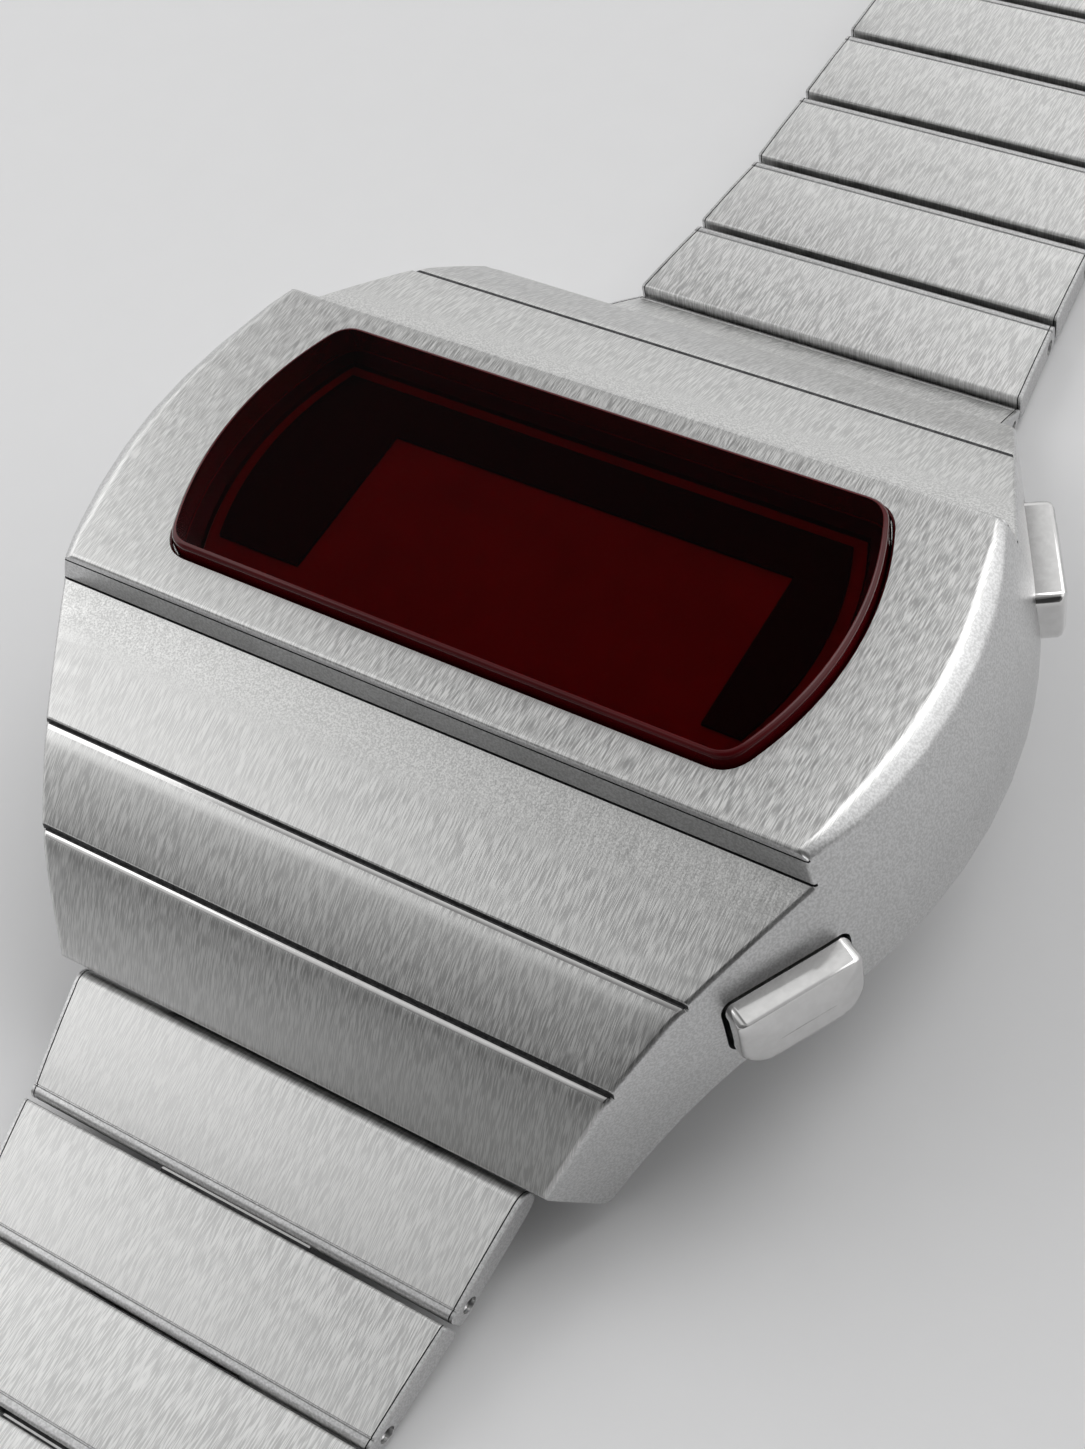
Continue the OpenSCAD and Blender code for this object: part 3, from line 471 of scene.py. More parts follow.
# Case: sizes of its side view and its plan
case = {
    # The bezel, seen from above: width, the arc of its sides and length; its edge and places along it
    "bezelZ": 13.3, "bezelW": 34.1, "bezelSag": 1.55, "bezelL": 15.2, "bezelEdge": 0.16,
    "bezelStations": (2.0, 4.0, 5.5, 6.6),
    # Sides: they taper in a straight line from the bezel to a place beyond the end, and swell below it
    "taper": 29.5, "straightOver": 2.0, "bulge": 1.4, "bulgeDepth": 7.0, "flareUp": 0.4, "sideRows": 14,
    # The step below the bezel, and two fine lines in it: distance down, width and depth
    "stepH": 1.35, "stepRun": 0.27, "stepRound": 0.04,
    "stepLines": ((0.30, 0.07, 0.10), (1.27, 0.11, 0.12)), "lineOver": 0.3, "overX": 19,
    # Facets: run and drop, how far each is crowned, and places along each
    "facets": ((4.91, 1.63), (3.07, 2.05), (2.95, 4.07)), "lift": (0.07, 0.06, 0.10),
    "firstShare": 0.1, "facetShares": (0.2, 0.32, 0.44, 0.56, 0.68, 0.8, 0.9), "shareGap": 0.02,
    # Seams between the facets: width and depth, where their floor lies as shares of half the width,
    # and the rounding of their edges
    "seams": ((0.10, 0.20), (0.12, 0.26)), "seamShares": (-0.5, 0.1),
    "seamEdge": (0.03, 0.05), "seamFloor": 0.02, "seamFoot": 0.03,
    # Lip under a seam: how far it runs, how low it starts, and steps along it
    "lipRun": 0.9, "lipDrop": (0.0, 0.16, 0.22), "lipPower": 2.5,
    "lipSteps": (0.02, 0.07, 0.14, 0.22, 0.32, 0.44, 0.6, 0.8),
    # The case's end and the lower edge of its sides, level in the middle and curved towards the end.
    # The top has extra rings over that edge's points, apart from those too near the middle or the end.
    "endRound": 0.3, "lugCorner": (17.0, 1.2), "lugRound": 0.35, "sideEdge": (8.9, 6.1), "sideSteps": 8,
    "extraRange": (0.05, 0.2),
    # Rounded edge between top and side: slope in degrees and length of each step. It has one size
    # along the bezel, where it shrinks towards the bezel's corners, and another along the facets.
    "edgeTurns": ((8, 0.16), (18, 0.13), (25, 0.13), (29, 0.16), (33, 0.17), (37, 0.17), (42, 0.16),
                  (48, 0.14), (55, 0.12), (63, 0.12), (69, 0.10)),
    "bezelSide": 0.8, "facetSide": 0.16, "edgeSwitch": 0.02, "fadeRun": 2.5, "fadeLeast": 0.3,
    "fadePower": 0.7, "edgeLimit": 0.4, "spread": (0.0, 0.25, 0.5, 0.75, 0.9),
    # Lower body: half length, half width, cut corners, and how far it flares upwards
    "belly": (14.8, 14.2), "bellyCut": (4.3, 8.6), "bellyZ": (2.1, 7.1), "bellyFlare": 1.0,
    # Cavity for the module, and the holes of the case back's screws: radius, start and end
    "cavity": (13.4, 10.8, 4.6, 4.6), "cavityZ": (1.1, 9.9), "screws": (8.6, 11.8),
    "screwHole": (0.55, 1.1, 4.2),
}
bezelHalf = case["bezelL"] / 2
bezelR = (bezelHalf ** 2 + case["bezelSag"] ** 2) / (2 * case["bezelSag"])
bezelTurn = math.asin(bezelHalf / bezelR)
taper = math.radians(case["taper"])
endY = bezelHalf + case["stepRun"] + sum(run for run, drop in case["facets"])
straightY = endY + case["straightOver"]


def bulgeAt(depth):
    left = max(0.0, case["bulgeDepth"] - depth) / case["bulgeDepth"]
    return case["bulge"] * (1 - left ** 2) + min(0.0, depth) * case["flareUp"]


# Half width of the case at a place along it and a height
def sideX(y, z):
    y = abs(y)
    grow = bulgeAt(case["bezelZ"] - z)
    radius = bezelR + grow
    centre = case["bezelW"] / 2 - bezelR
    arcEnd = radius * math.sin(bezelTurn)
    if y <= arcEnd:
        return centre + math.sqrt(radius ** 2 - y ** 2)
    startX = centre + radius * math.cos(bezelTurn)
    farX = (case["bezelW"] / 2 - case["bezelSag"] + grow / math.cos(taper)
            - math.tan(taper) * (straightY - bezelHalf))
    return startX + (farX - startX) * (y - arcEnd) / (straightY - arcEnd)


def along(point, direction, distance):
    return (point[0] + direction[0] * distance, point[1] + direction[1] * distance)


# One facet of the side view: crowned, and with a lip where a seam comes before it
def facetPoints(k, start):
    run, drop = case["facets"][k]
    direction = Vector((run, -drop)).normalized()
    length = math.hypot(run, drop)
    normal = (-direction[1], direction[0])
    lipStart = case["seams"][k - 1][0] / 2 if k else 0.0
    shares = [(lipStart + step) / length for step in case["lipSteps"]] if k else [case["firstShare"]]
    shares += [share for share in case["facetShares"] if share > shares[-1] + case["shareGap"]]
    points = []
    for u in shares:
        y, z = along(along(start, direction, length * u), normal, case["lift"][k] * 4 * u * (1 - u))
        left = max(0.0, 1 - (length * u - lipStart) / case["lipRun"])
        points.append((y, z - case["lipDrop"][k] * left ** case["lipPower"]))
    return points, along(start, direction, length), direction


# The case's side view, from the middle of the bezel over the end to the lug's lowest corner and
# back underneath, and the place of each seam with its width
def caseSideView():
    top = case["bezelZ"]
    corners, rounding, seams = [(0.0, top)], [0], []

    def add(point, round_=0.0):
        corners.append(point)
        rounding.append(round_)

    for y in case["bezelStations"]:
        add((y, top))
    add((bezelHalf, top), case["bezelEdge"])
    start = (bezelHalf + case["stepRun"], top - case["stepH"])
    add(start, case["stepRound"])
    for k in range(len(case["facets"])):
        points, end, direction = facetPoints(k, start)
        for point in points:
            add(point)
        if k == len(case["seams"]):
            add(end, case["endRound"])
            break
        wide, deep = case["seams"][k]
        seamHalf, seamFloor = wide / 2, case["seamFloor"]
        before, edgeRound = case["seamEdge"]
        floorFrom, floorTo = case["seamShares"]
        add(along(end, direction, -seamHalf - before), edgeRound)
        add((end[0] + seamHalf * floorFrom, end[1] - deep), seamFloor)
        add((end[0] + seamHalf * floorTo, end[1] - deep - seamFloor), seamFloor)
        nextRun, nextDrop = case["facets"][k + 1]
        turned = Vector((nextRun, -nextDrop)).normalized()
        add(along((end[0], end[1] - deep), turned, seamHalf), case["seamFoot"])
        seams.append((end[0], end[1], wide))
        start = end
    lowY, lowZ = case["lugCorner"]
    levelY, levelZ = case["sideEdge"]
    for k in range(case["sideSteps"], -1, -1):
        u = k / case["sideSteps"]
        point = (levelY + (lowY - levelY) * u, levelZ - (levelZ - lowZ) * u ** 2)
        add(point, case["lugRound"] if u == 1 else 0)
    add((0.0, levelZ))
    return roundedPath(corners, rounding), seams


sideView, seamPlaces = caseSideView()
turnAt = max(range(len(sideView)), key=lambda k: sideView[k][0])
topPath = sideView[:turnAt + 1]
underPath = sideView[turnAt:][::-1]


def underZ(y):
    for (y0, z0), (y1, z1) in zip(underPath, underPath[1:]):
        if y0 <= y <= y1:
            return z0 + (z1 - z0) * (y - y0) / max(tiny, y1 - y0)
    return underPath[-1][1]


# Extra places along a path, so that the case's lower edge keeps its corners
def withExtra(path, extra, apart=1e-4):
    result = []
    for (y0, z0), (y1, z1) in zip(path, path[1:]):
        result.append((y0, z0))
        for y in sorted(extra):
            if y0 + apart < y < y1 - apart:
                result.append((y, z0 + (z1 - z0) * (y - y0) / (y1 - y0)))
    result.append(path[-1])
    return result


firstExtra, lastExtra = case["extraRange"]
topPath = withExtra(topPath, [y for y, z in underPath if firstExtra < y < endY - lastExtra])
edgePath = [(0.0, 0.0)]
for turn, length in case["edgeTurns"]:
    slope = math.radians(turn)
    edgePath.append(along(edgePath[-1], (math.cos(slope), -math.sin(slope)), length))
edgeX, edgeZ = edgePath[-1]


# Size of the rounded edge between top and side at a place along the case
def edgeSize(y, height):
    onBezel = between((bezelHalf + case["edgeSwitch"] - y) / case["edgeSwitch"], 0.0, 1.0)
    fade = between((bezelHalf - y) / case["fadeRun"], case["fadeLeast"], 1.0) ** case["fadePower"]
    size = case["facetSide"] + (case["bezelSide"] - case["facetSide"]) * (onBezel * fade)
    return min(size, case["edgeLimit"] * max(small, height))


# One ring of the case's skin: over the top from left to right, down the side and back underneath
def caseRing(y, z, yUnder):
    bottom = min(underZ(min(yUnder, underPath[-1][0])), z)
    size = edgeSize(y, z - bottom)
    low = z + edgeZ * size
    outer = sideX(y, low)
    half = [(outer + (x - edgeX) * size, y, z + h * size) for x, h in edgePath]
    for k in range(1, case["sideRows"] + 1):
        share = k / case["sideRows"]
        level, place = low + (bottom - low) * share, y + (yUnder - y) * share
        half.append((sideX(place, level), place, level))
    across = [(half[0][0] * u, y, z) for u in case["spread"]]
    beneath = [(half[-1][0] * u, yUnder, bottom) for u in case["spread"][:0:-1]]
    right = across + half + beneath
    left = [(-x, place, level) for x, place, level in reversed(right) if x > tiny]
    return right + [(0.0, yUnder, bottom)] + left


rings = []
furthest = 0.0
for y, z in topPath:
    furthest = max(furthest, y)
    rings.append(caseRing(y, z, furthest))
backRings = [[(x, -y, z) for x, y, z in ring] for ring in rings[:0:-1]]
caseSkin = loft(backRings + rings)
bmesh.ops.dissolve_degenerate(caseSkin, edges=caseSkin.edges, dist=weld)
closeEnds(caseSkin)

# Finishes of the case's skin: where the brushing ends, the step, and a band along each seam. The
# groove of a seam gets painted shade; the lip after it is polished on the near side and painted
# shade on the far side.
skinPaint = {"side": 0.45, "up": 0.1, "stepUp": 0.5, "stepOver": 0.02, "seamSide": 0.35, "seamUnder": -0.2,
             "seamBand": (-0.61, 0.29), "seamTop": 0.06, "lip": 0.17}
for face in caseSkin.faces:
    middle, normal = face.calc_center_median(), face.normal
    away = abs(middle.y)
    onTop = abs(normal.x) < skinPaint["side"] and normal.z > skinPaint["up"]
    inStep = bezelHalf < away < bezelHalf + case["stepRun"] + skinPaint["stepOver"]
    face.material_index = brushedSlot if onTop else satinSlot
    if inStep and normal.z < skinPaint["stepUp"]:
        face.material_index = satinSlot
    for seamY, seamZ, wide in seamPlaces:
        beyond, above = away - seamY, middle.z - seamZ
        if abs(normal.x) > skinPaint["seamSide"] or normal.z < skinPaint["seamUnder"]:
            continue
        lowest, highest = skinPaint["seamBand"]
        if lowest < above < highest:
            # Painted shade in the seam's groove; the lip gets polished steel on the near side and painted
            # shade on the far side
            if -wide < beyond < wide / 2 and above < -skinPaint["seamTop"]:
                face.material_index = paintedShadeSlot
            elif wide / 2 < beyond < wide / 2 + skinPaint["lip"]:
                face.material_index = polishedSlot if middle.y < 0 else paintedShadeSlot


def cutRectangle(halfX, halfY, cutX, cutY):
    x, y = halfX - cutX, halfY - cutY
    return [(halfX, y), (x, halfY), (-x, halfY), (-halfX, y),
            (-halfX, -y), (-x, -halfY), (x, -halfY), (halfX, -y)]


# Window: two straight edges and two rounded sides, with small rounded corners
window = {
    "w": 26.6, "sag": 1.5, "l": 12.3, "shift": 0.29, "corner": 0.75, "plainFrom": 0.8, "gap": 0.1,
    # Chamfer at the bezel, and how the hole goes on above it: share, corners and heights
    "chamfer": 0.13, "rise": 0.35, "riseCorner": 0.8, "overCorner": 0.9, "over": 0.1, "above": 1.0,
    # The seat below the window, with the hole that leads down from it to the cavity
    "seatZ": 10.9, "seatW": 0.8, "seatCorner": 0.4, "seatFloor": 8.9, "seatOver": 0.5,
}
windowR = ((window["l"] / 2) ** 2 + window["sag"] ** 2) / (2 * window["sag"])


def windowOutline(inset, corner):
    high = window["l"] / 2 - inset
    radius = windowR - inset
    centre = window["w"] / 2 - windowR
    reach = math.asin(high / radius)
    side = arcPoints((centre, 0.0), radius, -reach, 2 * reach, 24)
    plain = [p for p in side if abs(p[1]) < high - corner * window["plainFrom"]]
    cornerX = side[-1][0]
    start = (centre + math.sqrt(radius ** 2 - (high - corner) ** 2), high - corner)
    upper = bezier(start, side[-1], (cornerX - corner, high), 6)
    right = [(x, -y) for x, y in reversed(upper)] + plain + upper
    outline = right + [(0.0, high)] + [(-x, y) for x, y in reversed(right)] + [(0.0, -high)]
    return [(x, y + window["shift"]) for x, y in outline]


# A closed loft through levels, each with an inset from the window's outline, a corner and a height
def windowLoft(levels):
    return closeEnds(loft([[(x, y, z) for x, y in windowOutline(inset, corner)]
                           for inset, corner, z in levels]))


top, cut = case["bezelZ"], window["chamfer"]
rise, over = cut * window["rise"], window["over"]
windowTool = painted(windowLoft([
    (0.0, window["corner"], window["seatZ"]), (0.0, window["corner"], top - cut),
    (-rise, window["riseCorner"], top - rise), (-cut - over, window["overCorner"], top + over),
    (-cut - over, window["overCorner"], top + window["above"])]), polishedSlot)
seatTool = painted(windowLoft([
    (window["seatW"], window["seatCorner"], window["seatFloor"]),
    (window["seatW"], window["seatCorner"], window["seatZ"] + window["seatOver"])]), satinSlot)
cavityTool = painted(prism(cutRectangle(*case["cavity"]), *case["cavityZ"]), satinSlot)

# Buttons. Places named N lie along a button's own axis, which is square to the case's side.
button = {
    "z": 7.85, "turn": 29.5, "shift": 0.35, "travel": 0.7, "play": 0.05,
    # Cap: length and height, the rounding of its corners, and how far it stands out of the side
    "l": 4.9, "h": 2.8, "topRound": 0.38, "lowRound": 0.85, "capShift": 0.45, "proud": 1.15,
    # The cap's face: a crown inside a bevel, and the cap's lower edge
    "crown": 8.0, "bevel": 0.18, "bevelStep": 0.29, "faceSteps": (0.3, 0.6, 0.85),
    "roundShare": 0.6, "leastRound": 0.05, "underEdge": 0.1,
    # Slot in the case's side for the cap, and room below the pressed cap
    "gap": 0.12, "slotRound": 0.5, "slotDepth": 1.7, "slotOver": 2.0, "below": 0.3,
    # Stem through the wall, with its seal, clip and end
    "stemR": 0.7, "sealR": 0.3, "stemGap": 0.04, "sealGap": 0.02, "wall": 1.3, "clipT": 0.25,
    "clipGroove": 0.2, "stemEnd": 0.4, "overlap": 0.01, "boreOver": 1.0,
    # Pocket inside for the leaf that the stem presses: room behind it, half length and half height
    "leafT": 0.15, "pocket": (0.3, 2.0, 1.9),
}
buttonBulge = bulgeAt(case["bezelZ"] - button["z"])
sideN = ((case["bezelW"] / 2 - case["bezelSag"]) * math.cos(taper) + bezelHalf * math.sin(taper)
         + buttonBulge)
faceN = sideN + button["proud"]
floorN = sideN - button["slotDepth"]
innerWallN = floorN - button["wall"]
clipN = innerWallN - button["play"] - button["clipT"]
stemEndN = clipN - button["stemEnd"]
underN = floorN + button["travel"] + button["below"]
sealN = (floorN + innerWallN) / 2
leafN = stemEndN - button["travel"] - button["play"] - button["leafT"]


def buttonMatrix(side):
    turn = Matrix.Rotation(side * math.radians(button["turn"]), 4, "Z")
    return (Matrix.Translation((0, 0, button["z"])) @ turn
            @ Matrix.Translation((0, side * button["shift"], 0)))


def capMatrix(side):
    return buttonMatrix(side) @ Matrix.Translation((0, side * button["capShift"], 0))


# Outline of a cap or its slot: the upper corners have their own rounding
def capOutline(halfL, halfH, upper, steps=8):
    lower = min(halfH, button["lowRound"])
    quarter = math.pi / 2
    return (arcPoints((halfL - upper, halfH - upper), upper, 0, quarter, steps)
            + arcPoints((-halfL + upper, halfH - upper), upper, quarter, quarter, steps)
            + arcPoints((-halfL + lower, lower - halfH), lower, 2 * quarter, quarter, steps)
            + arcPoints((halfL - lower, lower - halfH), lower, 3 * quarter, quarter, steps))


def axisRings(levels):
    return [[(n, u, v) for u, v in outline] for n, outline in levels]


def buttonTools(side):
    gap = button["gap"]
    plain = capOutline(button["l"] / 2 + gap, button["h"] / 2 + gap, button["slotRound"])
    slot = closeEnds(loft(axisRings([(floorN, plain), (sideN + button["slotOver"], plain)])))
    behind, halfL, halfH = button["pocket"]
    pocket = block((leafN - behind, -halfL, -halfH), (innerWallN, halfL, halfH))
    boreR = button["stemR"] + button["stemGap"]
    bore = rod(boreR, innerWallN - button["boreOver"], floorN + button["overlap"])
    sealHalf = button["sealR"] + button["sealGap"]
    sealSeat = rod(boreR + 2 * button["sealR"], sealN - sealHalf, sealN + sealHalf)
    return [moved(painted(slot, satinSlot), capMatrix(side))] + [
        moved(painted(tool, satinSlot), buttonMatrix(side)) for tool in (pocket, bore, sealSeat)]


# Lugs: the slot in each end of the case, and the holes of the spring bars. The slot's side view is
# an arc round the bar, from one angle over another, and then open to below and to the end.
lug = {"y": 17.1, "z": 3.7, "gap": 12.0, "barrel": 1.1, "bar": 0.62, "barL": 14.84,
       "arc": (60, 120), "open": 2.5, "openTop": (1.5, 0.2)}


def lugTools(side):
    y, z, barrel = lug["y"], lug["z"], lug["barrel"]
    start, turn = [math.radians(angle) for angle in lug["arc"]]
    outline = arcPoints((y, z), barrel, start, turn, 12)
    outline += [(y - barrel, 0.0), (y + lug["open"], 0.0), (y + lug["open"], z),
                (y + lug["openTop"][0], z + lug["openTop"][1])]
    slot = prism([(side * p, q) for p, q in outline], -lug["gap"] / 2, lug["gap"] / 2, "x")
    hole = moved(rod(lug["bar"], -lug["barL"] / 2, lug["barL"] / 2), Matrix.Translation((0, side * y, z)))
    return [painted(slot, satinSlot), painted(hole, satinSlot)]


# Fine lines across each step: one just under the bezel's edge, one at the step's foot. Their faces are
# painted shade.
def stepTools(side):
    down = Vector((case["stepRun"], -case["stepH"])).normalized()
    out = Vector((-down[1], down[0]))
    tools = []
    for distance, width, depth in case["stepLines"]:
        at = Vector((bezelHalf, case["bezelZ"])) + down * distance
        corners = [at + out * case["lineOver"], at - out * depth,
                   at + down * width - out * depth, at + down * width + out * case["lineOver"]]
        outline = [(side * p[0], p[1]) for p in corners]
        # The lines' faces get painted shade
        tools.append(painted(prism(outline, -case["overX"], case["overX"], "x"), paintedShadeSlot))
    return tools


caseTools = [windowTool, seatTool, cavityTool] + buttonTools(1) + buttonTools(-1)
caseTools += lugTools(-1) + lugTools(1)
for x in (-case["screws"][0], case["screws"][0]):
    for y in (-case["screws"][1], case["screws"][1]):
        hole = rod(*case["screwHole"], "z", 24)
        caseTools.append(moved(painted(hole, satinSlot), Matrix.Translation((x, y, 0))))
caseTools += stepTools(-1) + stepTools(1)

bellyRings = []
for level, grown in zip(case["bellyZ"], (0.0, case["bellyFlare"])):
    outline = cutRectangle(case["belly"][0] + grown, case["belly"][1] + grown, *case["bellyCut"])
    bellyRings.append([(x, y, level) for x, y in outline])
bellyBlock = painted(closeEnds(loft(bellyRings)), satinSlot)
caseMesh = carve(caseSkin, [bellyBlock], steelSet, "UNION")
caseMesh = carve(caseMesh, caseTools, steelSet)
finishPiece("caseShell", caseMesh, steelSet, "head", ["case_body"])
print("watch: case made")

# Crystal: proud of the bezel. Its rounded upper edge is given by insets and shares of the chamfer.
crystal = {"bottom": 11.2, "top": 13.85, "chamfer": 0.2, "corner": 0.7, "topCorner": 0.65,
           "lowEdge": 0.05, "edge": ((0.0, 1.0), (0.03, 0.55), (0.1, 0.2)), "flat": 0.95}
low, high, cut = crystal["bottom"], crystal["top"], crystal["chamfer"]
gap, corner = window["gap"], crystal["corner"]
levels = [(gap + crystal["lowEdge"], corner, low), (gap, corner, low + crystal["lowEdge"])]
levels += [(gap + inset, corner, high - cut * share) for inset, share in crystal["edge"]]
crystalMesh = windowLoft(levels + [(gap + cut, crystal["topCorner"], high)])
for face in crystalMesh.faces:
    face.material_index = 0 if abs(face.normal.z) > crystal["flat"] else 1
finishPiece("crystalGlass", crystalMesh, [crystalFace, crystalEdge], "head", ["crystal"], 50.0)


def buttonLook(side):
    crown, bevel, stemR = button["crown"], button["bevel"], button["stemR"]
    halfL, halfH, edge = button["l"] / 2, button["h"] / 2, button["underEdge"]

    def faceRing(inset, drop):
        high = halfH - inset
        rounding = max(button["leastRound"], min(button["topRound"], high) - inset * button["roundShare"])
        outline = capOutline(halfL - inset, high, min(rounding, high))
        return [(faceN - drop + math.sqrt(crown ** 2 - u ** 2) - crown, u, v) for u, v in outline]

    base = capOutline(halfL, halfH, button["topRound"])
    inner = capOutline(halfL - edge, halfH - edge, button["topRound"])
    rings = axisRings([(underN, inner), (underN + edge, base), ((underN + sideN) / 2, base)])
    step = bevel * button["bevelStep"]
    rings += [faceRing(0.0, bevel), faceRing(step, step), faceRing(bevel, 0.0)]
    rings += [faceRing(bevel + (halfH - bevel) * share, 0.0) for share in button["faceSteps"]]
    cap = closeEnds(loft(rings))
    clipEnd = clipN + button["clipT"]
    stem = joined(rod(stemR, clipEnd, underN + button["overlap"]),
                  rod(stemR - button["clipGroove"], clipN, clipEnd), rod(stemR, stemEndN, clipN))
    return joined(moved(cap, capMatrix(side)), moved(stem, buttonMatrix(side)))


for side, name in ((1, "upper_button"), (-1, "lower_button")):
    finishPiece(name + "_look", buttonLook(side), [polished], name, [name], 40.0)
print("watch: crystal and buttons made")

# Bracelet links, in each link's own place: x across, then outwards from its hinge, then up
link = {
    "pitch": 5.0, "t": 1.6, "sleeve": 4.8, "firstPitch": 5.75, "firstSleeve": 5.1,
    "startW": 20.0, "endW": 17.2, "near": 12, "far": 10, "nearTilt": 18.5,
    # Side view of a sleeve: the top's fall, and the rounding of its edges
    "droop": 0.12, "droopPower": 2.5, "topShares": (0.1, 0.25, 0.4, 0.55, 0.7, 0.82, 0.92),
    "underShares": (0.75, 0.5, 0.25), "rearRound": 0.14, "firstRearRound": 0.6, "lowRound": 0.3,
    "frontRound": 0.3, "lastFrontRound": 0.735,
    # Crease before the front rim, as places along it and depths
    "rim": 0.22, "crease": ((0.0, 0.0), (0.03, 0.05), (0.06, 0.05), (0.1, 0.0)),
    # Columns across a sleeve, as insets from its side and depths: the side's edge and a crack, whose faces
    # are painted shade
    "sideEdge": ((0.0, 0.12), (0.02, 0.04), (0.05, 0.0)), "inner": (0.42, 0.6, 0.9),
    "crackAt": 0.16, "crack": ((0.0, 0.0), (0.015, 0.07), (0.035, 0.07), (0.05, 0.0)),
    "underRise": 0.4, "underRun": 0.7,
    # Slot for the next link's tongue, and the bore of its pin
    "slotH": 1.16, "slotSide": 0.15, "boreGap": 0.04, "boreHalf": 12.0, "pinR": 0.3, "pinSink": 0.07,
    # Tongue: the first link's turns on the spring bar, and is thicker. Its plate is painted shade, apart
    # from a thin polished strip.
    "tongueW": 6.7, "tongueT": 0.16, "barrelR": 0.5, "glint": 0.8, "glintL": 0.08, "tongueIn": 1.5,
    "firstSide": 0.15, "firstTongueT": 0.32, "firstBarrelR": 0.95, "firstGlint": 1.1,
}
linkR = link["t"] / 2


def linkLength(i):
    return link["firstPitch"] if i == 1 else link["pitch"]


# Angle below level, in radians, at which a link lies in the photograph
def linkTilt(side, i):
    if side > 0:
        return math.asin((lug["z"] - linkR) / link["firstPitch"]) if i == 1 else 0.0
    if i == 1:
        return math.radians(link["nearTilt"])
    if i == 2:
        drop = lug["z"] - link["firstPitch"] * math.sin(math.radians(link["nearTilt"])) - linkR
        return math.asin(drop / link["pitch"])
    return 0.0


def linkMatrix(side, i):
    y, z = lug["y"], lug["z"]
    for k in range(1, i):
        y += linkLength(k) * math.cos(linkTilt(side, k))
        z -= linkLength(k) * math.sin(linkTilt(side, k))
    turn = Matrix.Rotation(-linkTilt(side, i), 4, "X")
    flip = Matrix.Identity(4) if side > 0 else Matrix.Scale(-1, 4, (0, 1, 0))
    return Matrix.Translation((0, side * y, z)) @ flip @ turn


# Width of the bracelet where link k ends and the next one starts
def jointWidth(k):
    return max(link["endW"], link["startW"] - k)


# Side view of a sleeve: crisp rear edge, a top that falls to a crease, and a narrow rim in front
def sleeveProfile(start, end, rear, front):
    r, quarter = linkR, math.pi / 2
    points = arcPoints((start + rear, r - rear), rear, math.pi, -quarter, 5)
    crease = end - front - link["rim"]
    flat = crease - (start + rear)
    for u in link["topShares"]:
        points.append((start + rear + flat * u, r - link["droop"] * u ** link["droopPower"]))
    high = r - link["droop"]
    points += [(crease + s, high - depth) for s, depth in link["crease"]]
    points += arcPoints((end - front, high - front), front, quarter, -quarter, 7)
    points += arcPoints((end - front, front - r), front, 0.0, -quarter, 7)
    for u in link["underShares"]:
        points.append((start + r + (end - start - 2 * r) * u, -r))
    lowRound = r if rear > link["lowRound"] else link["lowRound"]
    return points + arcPoints((start + lowRound, lowRound - r), lowRound, -quarter, -quarter, 5)


def sleeveMesh(i, frontRound):
    length = linkLength(i)
    end = length + linkR
    start = end - (link["firstSleeve"] if i == 1 else link["sleeve"])
    rear, front = jointWidth(i - 1) / 2, jointWidth(i) / 2
    profile = sleeveProfile(start, end, link["firstRearRound"] if i == 1 else link["rearRound"], frontRound)
    crackStart = link["crackAt"]
    columns = list(link["sideEdge"])
    columns += [(crackStart + inset, depth) for inset, depth in link["crack"]]
    columns += [(inset, 0.0) for inset in link["inner"]]
    half = []
    for inset, sunk in columns:
        ring = []
        for s, h in profile:
            share = (s - start) / (end - start)
            width = rear + (front - rear) * share - inset
            inward = Vector((between(s, start + linkR, end - linkR) - s, -h))
            inward = inward.normalized() * sunk if inward.length > small else inward
            low = h + inward[1]
            if low < 0:
                low *= 1 - link["underRise"] * max(0.0, 1 - inset / link["underRun"]) ** 2
            ring.append((width, s + inward[0], low))
        half.append(ring)
    rings = half + [[(0.0, s, h) for x, s, h in half[-1]]]
    rings += [[(-x, s, h) for x, s, h in ring] for ring in reversed(half)]
    bm = closeEnds(loft(rings))
    crackEnd = crackStart + link["crack"][-1][0]
    for face in bm.faces:
        middle = face.calc_center_median()
        inset = rear + (front - rear) * (middle.y - start) / (end - start) - abs(middle.x)
        fromCrease = middle.y - (end - frontRound - link["rim"])
        face.material_index = satinSlot
        # Painted shade in the crack along each side
        if crackStart < inset < crackEnd:
            face.material_index = paintedShadeSlot
        elif middle.z >= 0 and inset >= crackEnd and fromCrease <= 0:
            face.material_index = brushedSlot
    slotHalf = link["tongueW"] / 2 + link["slotSide"]
    slot = block((-slotHalf, length - link["slotH"] / 2, -link["slotH"] / 2),
                 (slotHalf, length + link["pitch"], link["slotH"] / 2))
    bore = rod(link["pinR"] + link["boreGap"], -link["boreHalf"], link["boreHalf"], "x", 32)
    bore = moved(bore, Matrix.Translation((0, length, 0)))
    return carve(bm, [painted(slot, satinSlot), painted(bore, satinSlot)], linkSet), start


def tongueMesh(width, barrel, thickness, reach, glint):
    half = thickness / 2
    lead = math.asin(half / barrel)
    glintEnd = glint + link["glintL"]
    outline = arcPoints((0.0, 0.0), barrel, lead, 2 * math.pi - 2 * lead, 40)
    outline += [(reach, -half), (reach, half), (glintEnd, half), (glint, half)]
    bm = painted(prism(outline, -width / 2, width / 2, "x"), polishedSlot)
    # The plate beyond the barrel is painted shade, apart from a thin polished strip that catches a glint
    for face in bm.faces:
        middle = face.calc_center_median()
        if middle.y > barrel and not (middle.z > 0 and glint < middle.y < glintEnd):
            face.material_index = paintedShadeSlot
    return bm


